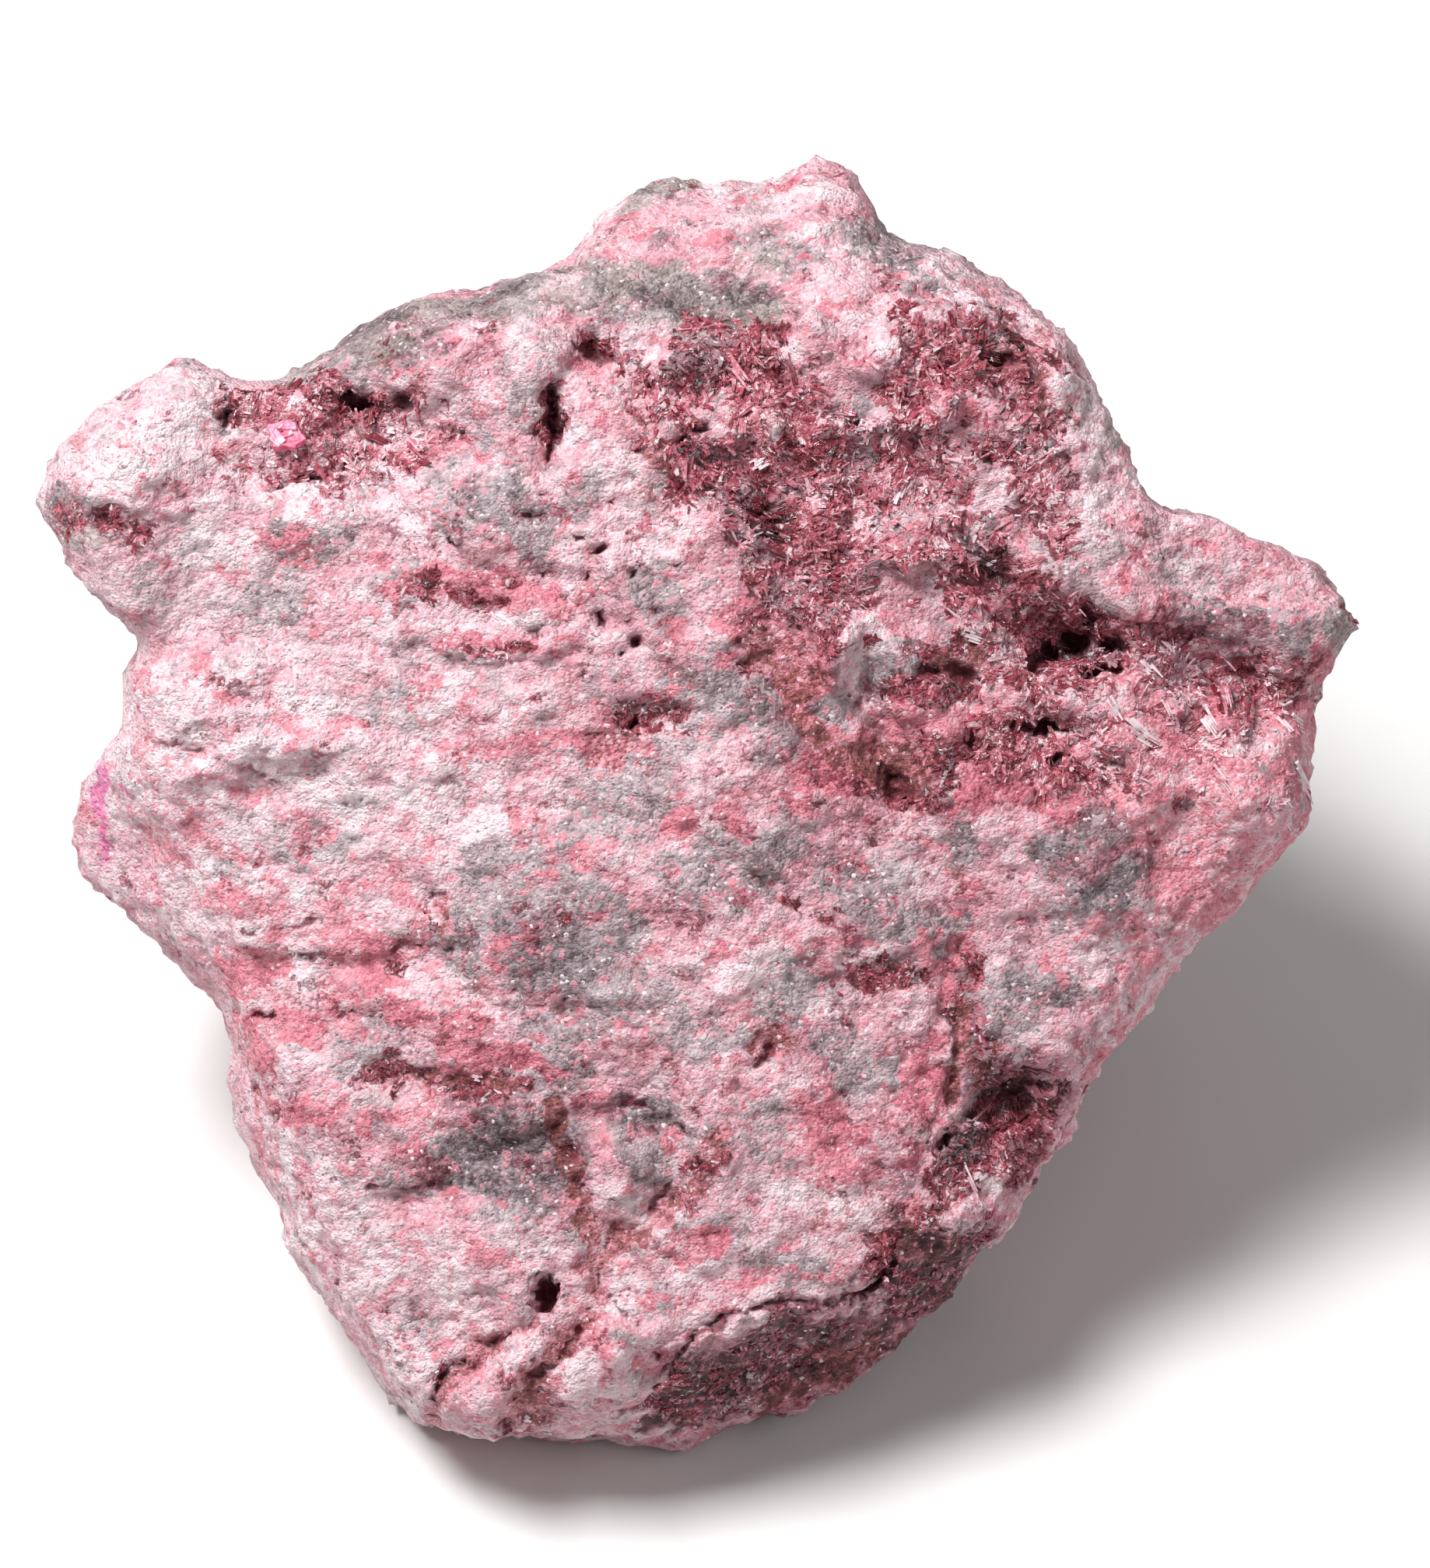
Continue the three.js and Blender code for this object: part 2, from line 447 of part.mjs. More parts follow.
// A closed slab over a hollow, between two heights, its border moved outwards by a margin. Its relief
// is calmer towards the middle, where the facets are narrow
function slabGeometry(hollow, margin, above, below, relief = 0) {
  const positions = [];
  const index = [];
  const { sectors } = hollow;

  function addCap(rings, lift, facesOut, rough) {
    const first = positions.length / 3;
    positions.push(hollow.a, hollow.b, faceHeight(hollow.a, hollow.b) + lift);
    for (let ring = 1; ring <= rings; ring += 1) {
      for (let step = 0; step < sectors; step += 1) {
        const angle = (step / sectors) * 2 * Math.PI;
        const reach = (borderReach(hollow.border, hollow, angle) * ring) / rings;
        const height = faceHeight(hollow.a + reach * Math.cos(angle), hollow.b + reach * Math.sin(angle));
        const wide = reach + (ring === rings ? margin : 0);
        const calm = Math.min(1, (2 * ring) / rings);
        const bump = lift + calm * rough * (hash(ring, step, hollow.seed) - 0.4);
        positions.push(hollow.a + wide * Math.cos(angle), hollow.b + wide * Math.sin(angle), height + bump);
      }
    }
    const addFace = (i, j, k) => index.push(...(facesOut ? [i, j, k] : [i, k, j]));
    for (let step = 0; step < sectors; step += 1) {
      const next = (step + 1) % sectors;
      addFace(first, first + 1 + step, first + 1 + next);
      for (let ring = 1; ring < rings; ring += 1) {
        const inner = first + 1 + (ring - 1) * sectors;
        const outer = inner + sectors;
        addFace(inner + step, outer + step, outer + next);
        addFace(inner + step, outer + next, inner + next);
      }
    }
    return first + 1 + (rings - 1) * sectors;
  }

  const topEdge = addCap(2 * hollow.rings, above, true, relief);
  const bottomEdge = addCap(hollow.rings, -below, false, 0);
  for (let step = 0; step < sectors; step += 1) {
    const next = (step + 1) % sectors;
    index.push(topEdge + step, bottomEdge + step, bottomEdge + next);
    index.push(topEdge + step, bottomEdge + next, topEdge + next);
  }
  const geometry = new THREE.BufferGeometry();
  geometry.setAttribute('position', new THREE.Float32BufferAttribute(positions, 3));
  geometry.setIndex(index);
  return geometry;
}

// A flat lath with a chisel end, along +X from its root
function bladeGeometry(length, width) {
  const thickness = width * 0.42;
  const shoulder = length * 0.78;
  const corners = [];
  for (const x of [0, shoulder]) {
    const taper = x === 0 ? 0.7 : 1;
    corners.push(new THREE.Vector3(x, (taper * width) / 2, 0));
    corners.push(new THREE.Vector3(x, (-taper * width) / 2, 0));
    corners.push(new THREE.Vector3(x, 0, (taper * thickness) / 2));
    corners.push(new THREE.Vector3(x, 0, (-taper * thickness) / 2));
  }
  corners.push(new THREE.Vector3(length, width * 0.15, 0));
  corners.push(new THREE.Vector3(length, width * -0.15, 0));
  return new ConvexGeometry(corners);
}

// Blades of one hollow: sprays of four that fan out from a shared root, tips inside the border
function crustBlades(hollow) {
  const blades = [];
  const pick = (range, i, salt) => lerp(range[0], range[1], hash(i, salt, hollow.seed));
  for (let i = 0; blades.length < hollow.blades && i < 40 * hollow.blades; i += 1) {
    const spray = Math.floor(i / 4);
    const rootAngle = 2 * Math.PI * hash(spray, 1, hollow.seed);
    const rootShare = 0.86 * Math.sqrt(hash(spray, 2, hollow.seed));
    const rootReach = rootShare * borderReach(hollow.border, hollow, rootAngle);
    const a = hollow.a + rootReach * Math.cos(rootAngle);
    const b = hollow.b + rootReach * Math.sin(rootAngle);
    const length = pick(hollow.length, i, 3);
    const heading = 2 * Math.PI * hash(spray, 4, hollow.seed) + (hash(i, 5, hollow.seed) - 0.5) * 2.4;
    const lift = degToRad(pick(hollow.lift, i, 6));
    const tipA = a + length * Math.cos(heading) * Math.cos(lift);
    const tipB = b + length * Math.sin(heading) * Math.cos(lift);
    if (shareOf(hollow.border, hollow, tipA, tipB) < 0.9) {
      const rise = faceHeight(tipA, tipB) - faceHeight(a, b);
      const blade = bladeGeometry(length, pick(hollow.width, i, 7));
      blade.rotateX((hash(i, 8, hollow.seed) - 0.5) * 2.2);
      blade.rotateY(-lift - Math.atan2(rise, length));
      blade.rotateZ(heading);
      blade.translate(a, b, faceHeight(a, b) - 0.5);
      blades.push(blade);
    }
  }
  return blades;
}

// The one bright crystal with flat cleavage faces, standing in its bed
function cleavedGeometry({ a, b, side, turn }) {
  const block = new THREE.BoxGeometry(side, side * 0.85, side * 1.1);
  block.rotateX(0.35);
  block.rotateY(-0.3);
  block.rotateZ(degToRad(turn));
  block.translate(a, b, faceHeight(a, b) + side * 0.3);
  return block;
}

function solidOf(geometry) {
  const bare = geometry.clone();
  bare.deleteAttribute('normal');
  bare.deleteAttribute('uv');
  const merged = mergeVertices(bare, 1e-4);
  return new wasm.Manifold(new wasm.Mesh({
    numProp: 3,
    vertProperties: new Float32Array(merged.getAttribute('position').array),
    triVerts: new Uint32Array(merged.getIndex().array),
  }));
}

function geometryOf(solid) {
  const { vertProperties, triVerts } = solid.getMesh();
  const geometry = new THREE.BufferGeometry();
  geometry.setAttribute('position', new THREE.BufferAttribute(vertProperties, 3));
  geometry.setIndex(new THREE.BufferAttribute(triVerts, 1));
  const faceted = geometry.toNonIndexed();
  faceted.computeVertexNormals();
  return faceted;
}

function crustSolid(hollow) {
  let crust = solidOf(slabGeometry(hollow, 0, crustRise, crustThickness, crustRelief));
  for (const blade of crustBlades(hollow)) crust = crust.add(solidOf(blade));
  if (hollow.cleaved) crust = crust.add(solidOf(cleavedGeometry(hollow.cleaved)));
  return crust.intersect(solidOf(slabGeometry(hollow, 0, 12, crustThickness)));
}

function chunkSolid() {
  let chunk = solidOf(chunkGeometry());
  for (const pit of pits) chunk = chunk.subtract(solidOf(pitGeometry(pit)));
  for (const hollow of crusts) {
    chunk = chunk.subtract(solidOf(slabGeometry(hollow, crustGap, 14, crustThickness + 0.5)));
  }
  const ground = new THREE.BoxGeometry(200, 200, 60);
  ground.translate(0, 0, -restDrop - 30);
  ground.rotateX(-degToRad(leanBack));
  return chunk.subtract(solidOf(ground));
}

function makeMesh(name, solid, colour, roughness) {
  const material = new THREE.MeshStandardMaterial({ color: colour, roughness, flatShading: true });
  const mesh = new THREE.Mesh(geometryOf(solid), material);
  mesh.name = name;
  return mesh;
}

const leaned = new THREE.Group();
leaned.rotation.x = degToRad(leanBack);
leaned.add(makeMesh('matrix', chunkSolid(), 0xcfa5ae, 0.85));
for (const hollow of crusts) leaned.add(makeMesh(hollow.name, crustSolid(hollow), hollow.colour, 0.3));

const specimen = new THREE.Group();
specimen.name = 'roselite_specimen';
specimen.add(leaned);
const box = new THREE.Box3().setFromObject(specimen, true);
const centre = box.getCenter(new THREE.Vector3());
leaned.position.set(-centre.x, -centre.y, -box.min.z);
specimen.updateMatrixWorld(true);

export default specimen;
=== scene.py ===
import math
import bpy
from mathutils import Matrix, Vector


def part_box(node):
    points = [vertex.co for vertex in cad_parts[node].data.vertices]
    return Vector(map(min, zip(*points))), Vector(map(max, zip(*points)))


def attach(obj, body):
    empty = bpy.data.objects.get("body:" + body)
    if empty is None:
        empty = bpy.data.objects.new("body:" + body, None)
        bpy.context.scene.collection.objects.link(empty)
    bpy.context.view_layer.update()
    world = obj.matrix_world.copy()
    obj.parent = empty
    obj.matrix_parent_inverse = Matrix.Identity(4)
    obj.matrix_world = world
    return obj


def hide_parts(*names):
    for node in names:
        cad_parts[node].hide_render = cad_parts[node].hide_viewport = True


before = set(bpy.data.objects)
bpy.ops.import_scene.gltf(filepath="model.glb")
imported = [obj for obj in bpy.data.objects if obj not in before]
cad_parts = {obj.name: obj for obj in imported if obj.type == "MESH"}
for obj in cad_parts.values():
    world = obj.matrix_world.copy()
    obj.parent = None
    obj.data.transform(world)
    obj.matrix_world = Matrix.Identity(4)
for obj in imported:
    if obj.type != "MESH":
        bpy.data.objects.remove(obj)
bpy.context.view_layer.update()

from types import SimpleNamespace
import bpy
import numpy as np
from mathutils import Euler, Vector, noise
from mathutils.bvhtree import BVHTree

mm = 0.001

# the broad face: a runs right, b up the face, c out of it, all in mm from its middle
face = {
    "middle": (1.2, 1.697, 36.7),      # mm, in the frame of the solids
    "lean": 42.0,                      # degrees it leans back from upright
    "viewDistance": 600.0,             # mm from the camera to the middle
    "viewHeight": 126.0,               # mm that the picture takes in, from top to bottom
    "pictureMiddle": (919, 1008),      # the same middle in pixels of the 1838 x 2016 view
    "pixels": 16,                      # pixels to a mm
}
lean = math.radians(face["lean"])
faceAxes = np.array([
    [1, 0, 0],
    [0, math.cos(lean), math.sin(lean)],
    [0, -math.sin(lean), math.cos(lean)],
])


def spot(x, y):
    # a place on the face, given in the pixels of the view
    middleX, middleY = face["pictureMiddle"]
    return (x - middleX) / face["pixels"], (middleY - y) / face["pixels"]


def toFace(points):
    return (points / mm - np.array(face["middle"])) @ faceAxes.T


def step(low, high, value):
    t = np.clip((value - low) / (high - low), 0, 1)
    return t * t * (3 - 2 * t)


def clouds(points, size, octaves=3, fade=0.6, shift=0.0):
    # layered noise round 0, its largest lumps of about the given size; each shift is another pattern
    finer = 2.1      # how much finer each layer is than the last
    return np.array([noise.fractal(Vector(p), fade, finer, octaves) for p in points / size + shift])


def grains(points, size, shift=0.0):
    # distance from the middle of the nearest grain, 0 to about 1
    return np.array([noise.voronoi(Vector(p))[0][0] for p in points / size + shift])


def even(values):
    # the same pattern with its values spread evenly from 0 to 1
    order = np.empty(len(values))
    order[np.argsort(values, kind="stable")] = np.arange(len(values))
    return order / len(values)


def only(*objects):
    bpy.ops.object.select_all(action="DESELECT")
    for each in objects:
        each.select_set(True)
    bpy.context.view_layer.objects.active = objects[0]


def applyModifier(piece, kind, **values):
    only(piece)
    modifier = piece.modifiers.new(kind.title(), kind)
    for name, value in values.items():
        setattr(modifier, name, value)
    bpy.ops.object.modifier_apply(modifier=modifier.name)


def readPoints(piece, what="co"):
    out = np.empty(len(piece.data.vertices) * 3, np.float32)
    piece.data.vertices.foreach_get(what, out)
    return out.reshape(-1, 3).astype(float)


def movePoints(piece, places):
    piece.data.vertices.foreach_set("co", places.astype(np.float32).ravel())
    piece.data.update()


def setAttribute(piece, name, values):
    attribute = piece.data.attributes.new(name, "FLOAT", "POINT")
    attribute.data.foreach_set("value", np.asarray(values, np.float32))


# the rock: all the solids in one skin, and then the relief that is too fine for them
rockSizes = {
    "voxel": 0.88,         # mm between points after the remesh
    "crustGrow": 0.35,     # mm, closes the gap round the crusts
    "softening": 1,        # rounds of smoothing
    "fine": 0.3,           # faces that look this far towards the viewer are divided once more
    "weld": 0.000001,      # m, points of the solids closer than this are one
}

# mm that each kind of relief stands up, and mm that its forms are across
reliefHeight = {"swell": 0.6, "terrace": 0.35, "chips": 0.4, "grain": 0.34, "dust": 0.2}
reliefSize = {"swell": 8.0, "terrace": 5.5, "chips": 2.6, "grain": 1.5, "dust": 0.9}

# how far the edges of patches and holes wander off plain ovals and lines: size and reach in mm of the broad
# part and of the fine part, and the share of the broad part that sharp edges follow
wander = {"size": 6.0, "reach": 1.6, "fineSize": 1.8, "fineReach": 0.5, "sharpShare": 0.3}

# how things fade outwards: where the fade starts and where it ends, in shares of their half width
fades = {
    "patch": (0.45, 1.6), "band": (0.4, 1.5), "tone": (0.3, 1.5), "spot": (0.5, 1.4), "bare": (0.8, 1.15),
    "hole": (0.35, 1.25), "holeShade": (0.5, 1.5), "vein": (0.2, 1.4), "veinShade": (0.4, 1.6),
    "levelled": (0.9, 1.2),
}

# mm that a full patch of each ground lifts the rock, how much flatter sand is, and mm of depth that give a
# hole its full painted shade
groundRise = {"white": 0.25, "wine": -0.3, "rust": -0.4}
sandFlatter = 0.15
shadeDepth = 1.2

# in all these lists x and y are pixels of the view, and so are half widths and half heights where no mm is
# given. An oval may end in a turn in degrees

# holes and slots: x, y, half width, half height, depth in mm, and the turn
holes = [
    (300, 550, 12, 16, 1.6), (465, 530, 26, 14, 2.0), (530, 525, 18, 12, 1.6), (715, 545, 12, 34, 2.0, -10),
    (765, 465, 30, 9, 1.4, 32), (712, 590, 6, 26, 1.2), (595, 705, 6, 7, 1.2), (680, 670, 6, 6, 1.0),
    (615, 650, 5, 5, 0.9), (640, 700, 5, 5, 0.9), (560, 640, 5, 5, 0.9), (700, 640, 5, 5, 0.9),
    (800, 845, 9, 7, 1.3), (772, 718, 13, 7, 1.5), (775, 800, 8, 12, 1.5), (822, 828, 9, 16, 1.6, 20),
    (790, 660, 6, 6, 1.1), (745, 690, 7, 5, 1.1), (735, 640, 5, 5, 1.0), (815, 745, 7, 6, 1.1),
    (700, 740, 6, 5, 1.0), (655, 735, 5, 4, 0.9), (840, 790, 6, 5, 1.0), (728, 770, 5, 4, 0.9),
    (870, 735, 5, 5, 0.9), (610, 700, 5, 5, 0.9), (760, 745, 7, 6, 1.2), (815, 935, 12, 10, 1.4),
    (1376, 832, 24, 18, 2.8, -20), (1335, 850, 20, 20, 2.4, 30), (1405, 868, 34, 10, 2.4),
    (1425, 835, 18, 14, 2.2), (1392, 800, 12, 12, 1.8), (700, 1648, 12, 24, 2.6, 8),
    (1330, 937, 42, 7, 1.8, 3), (1240, 950, 8, 18, 1.5, -8), (1350, 972, 14, 10, 1.5),
    (1420, 990, 22, 10, 0.8, 20), (1230, 870, 22, 18, 1.4), (1150, 1010, 20, 12, 1.3),
    (1100, 553, 12, 10, 1.5), (1275, 475, 30, 14, 1.6), (965, 660, 50, 7, 1.2, 25),
    (985, 690, 36, 6, 1.2, 25), (950, 640, 30, 6, 1.2, 25), (1290, 725, 30, 6, 1.2, 40),
    (1208, 1453, 9, 8, 1.4, 30), (1300, 1395, 34, 12, 1.2, -25), (1400, 1140, 14, 10, 0.5),
    (155, 510, 22, 14, 0.9), (130, 680, 44, 14, 1.0, 8), (465, 1035, 22, 7, 0.6, 5), (885, 575, 14, 8, 1.4),
    (900, 560, 12, 7, 1.2), (982, 1350, 22, 11, 1.1, -35), (1190, 870, 20, 12, 1.4),
    (620, 800, 24, 5, 0.6, -4), (690, 815, 26, 6, 0.8, 10),
]

# places that are levelled first, with less of a hollow than the solid has there
levelled = [(700, 1638, 50, 66)]

# the long broken edge over the foot of the stone
footEdge = [(860, 1750), (900, 1700), (940, 1680), (1000, 1660), (1050, 1670), (1130, 1640), (1160, 1600)]

# veins and cracks: half width in mm, depth in mm, then x, y of each bend
veins = [
    (0.35, 0.6, [(720, 1420), (740, 1480), (750, 1560)]),
    (0.4, 0.6, [(905, 1480), (870, 1510), (840, 1540), (790, 1570), (770, 1610), (780, 1640)]),
    (0.35, 0.7, [(700, 1660), (670, 1690), (620, 1710), (590, 1740), (560, 1790), (565, 1830)]),
    (0.35, 0.7, [(750, 1670), (740, 1720), (690, 1760), (660, 1800), (650, 1840)]),
    (0.25, 0.4, [(790, 1640), (825, 1690), (845, 1740)]),
    (0.35, 0.7, [(570, 1150), (592, 1200), (605, 1250)]),
    (0.3, 0.6, [(600, 1260), (670, 1275), (740, 1280)]),
    (0.3, 0.5, [(510, 1215), (550, 1205)]),
    (0.25, 0.3, [(380, 1540), (450, 1525), (560, 1500)]),
    (0.35, 0.7, [(350, 640), (400, 625), (450, 610)]),
    (0.4, 0.8, [(750, 1410), (820, 1405), (880, 1430), (900, 1450)]),
    (0.3, 0.4, [(1235, 1240), (1225, 1320), (1215, 1400), (1200, 1460)]),
    (0.4, 0.8, footEdge),
    (0.3, 0.5, [(340, 1300), (420, 1290), (500, 1300)]),
    (0.3, 0.4, [(330, 1210), (400, 1230), (460, 1222)]),
    (0.25, 0.3, [(300, 1180), (350, 1195), (420, 1180)]),
]

# broken edges: height and reach in mm, then x, y of each bend with the high ground on the right
cliffs = [
    (1.6, 5.0, footEdge + [(1150, 1565), (1215, 1545)]),
    (0.3, 2.5, [(560, 1045), (480, 1045), (400, 1020), (300, 975), (200, 945)]),
    (0.9, 4.0, [(760, 1285), (670, 1280), (600, 1262), (585, 1215), (565, 1150)]),
    (0.9, 4.0, [(560, 1208), (505, 1220), (420, 1235), (330, 1215)]),
    (1.3, 5.0, [(1160, 1020), (1130, 950), (1100, 905), (1050, 880), (1030, 820)]),
    (0.9, 4.0, [(900, 1470), (880, 1435), (820, 1410), (740, 1412), (690, 1440)]),
    (0.8, 4.0, [(560, 1505), (460, 1530), (380, 1545)]),
    (0.9, 4.0, [(640, 760), (600, 700), (540, 660), (480, 600)]),
    (0.9, 3.5, [(860, 850), (800, 790), (760, 700), (730, 620)]),
    (0.8, 4.0, [(700, 840), (620, 850), (540, 830)]),
    (0.9, 4.0, [(1180, 1470), (1200, 1350), (1225, 1230)]),
    (1.2, 4.0, [(1360, 1360), (1280, 1375), (1230, 1420)]),
    (0.8, 4.0, [(1000, 1130), (920, 1090), (860, 1040)]),
    (0.7, 4.0, [(470, 1290), (400, 1300), (330, 1290)]),
    (0.8, 3.5, [(690, 1650), (650, 1700), (600, 1740), (570, 1790)]),
    (0.8, 4.0, [(1100, 480), (1050, 440), (1000, 400)]),
    (0.8, 4.0, [(950, 730), (900, 640), (840, 590)]),
]

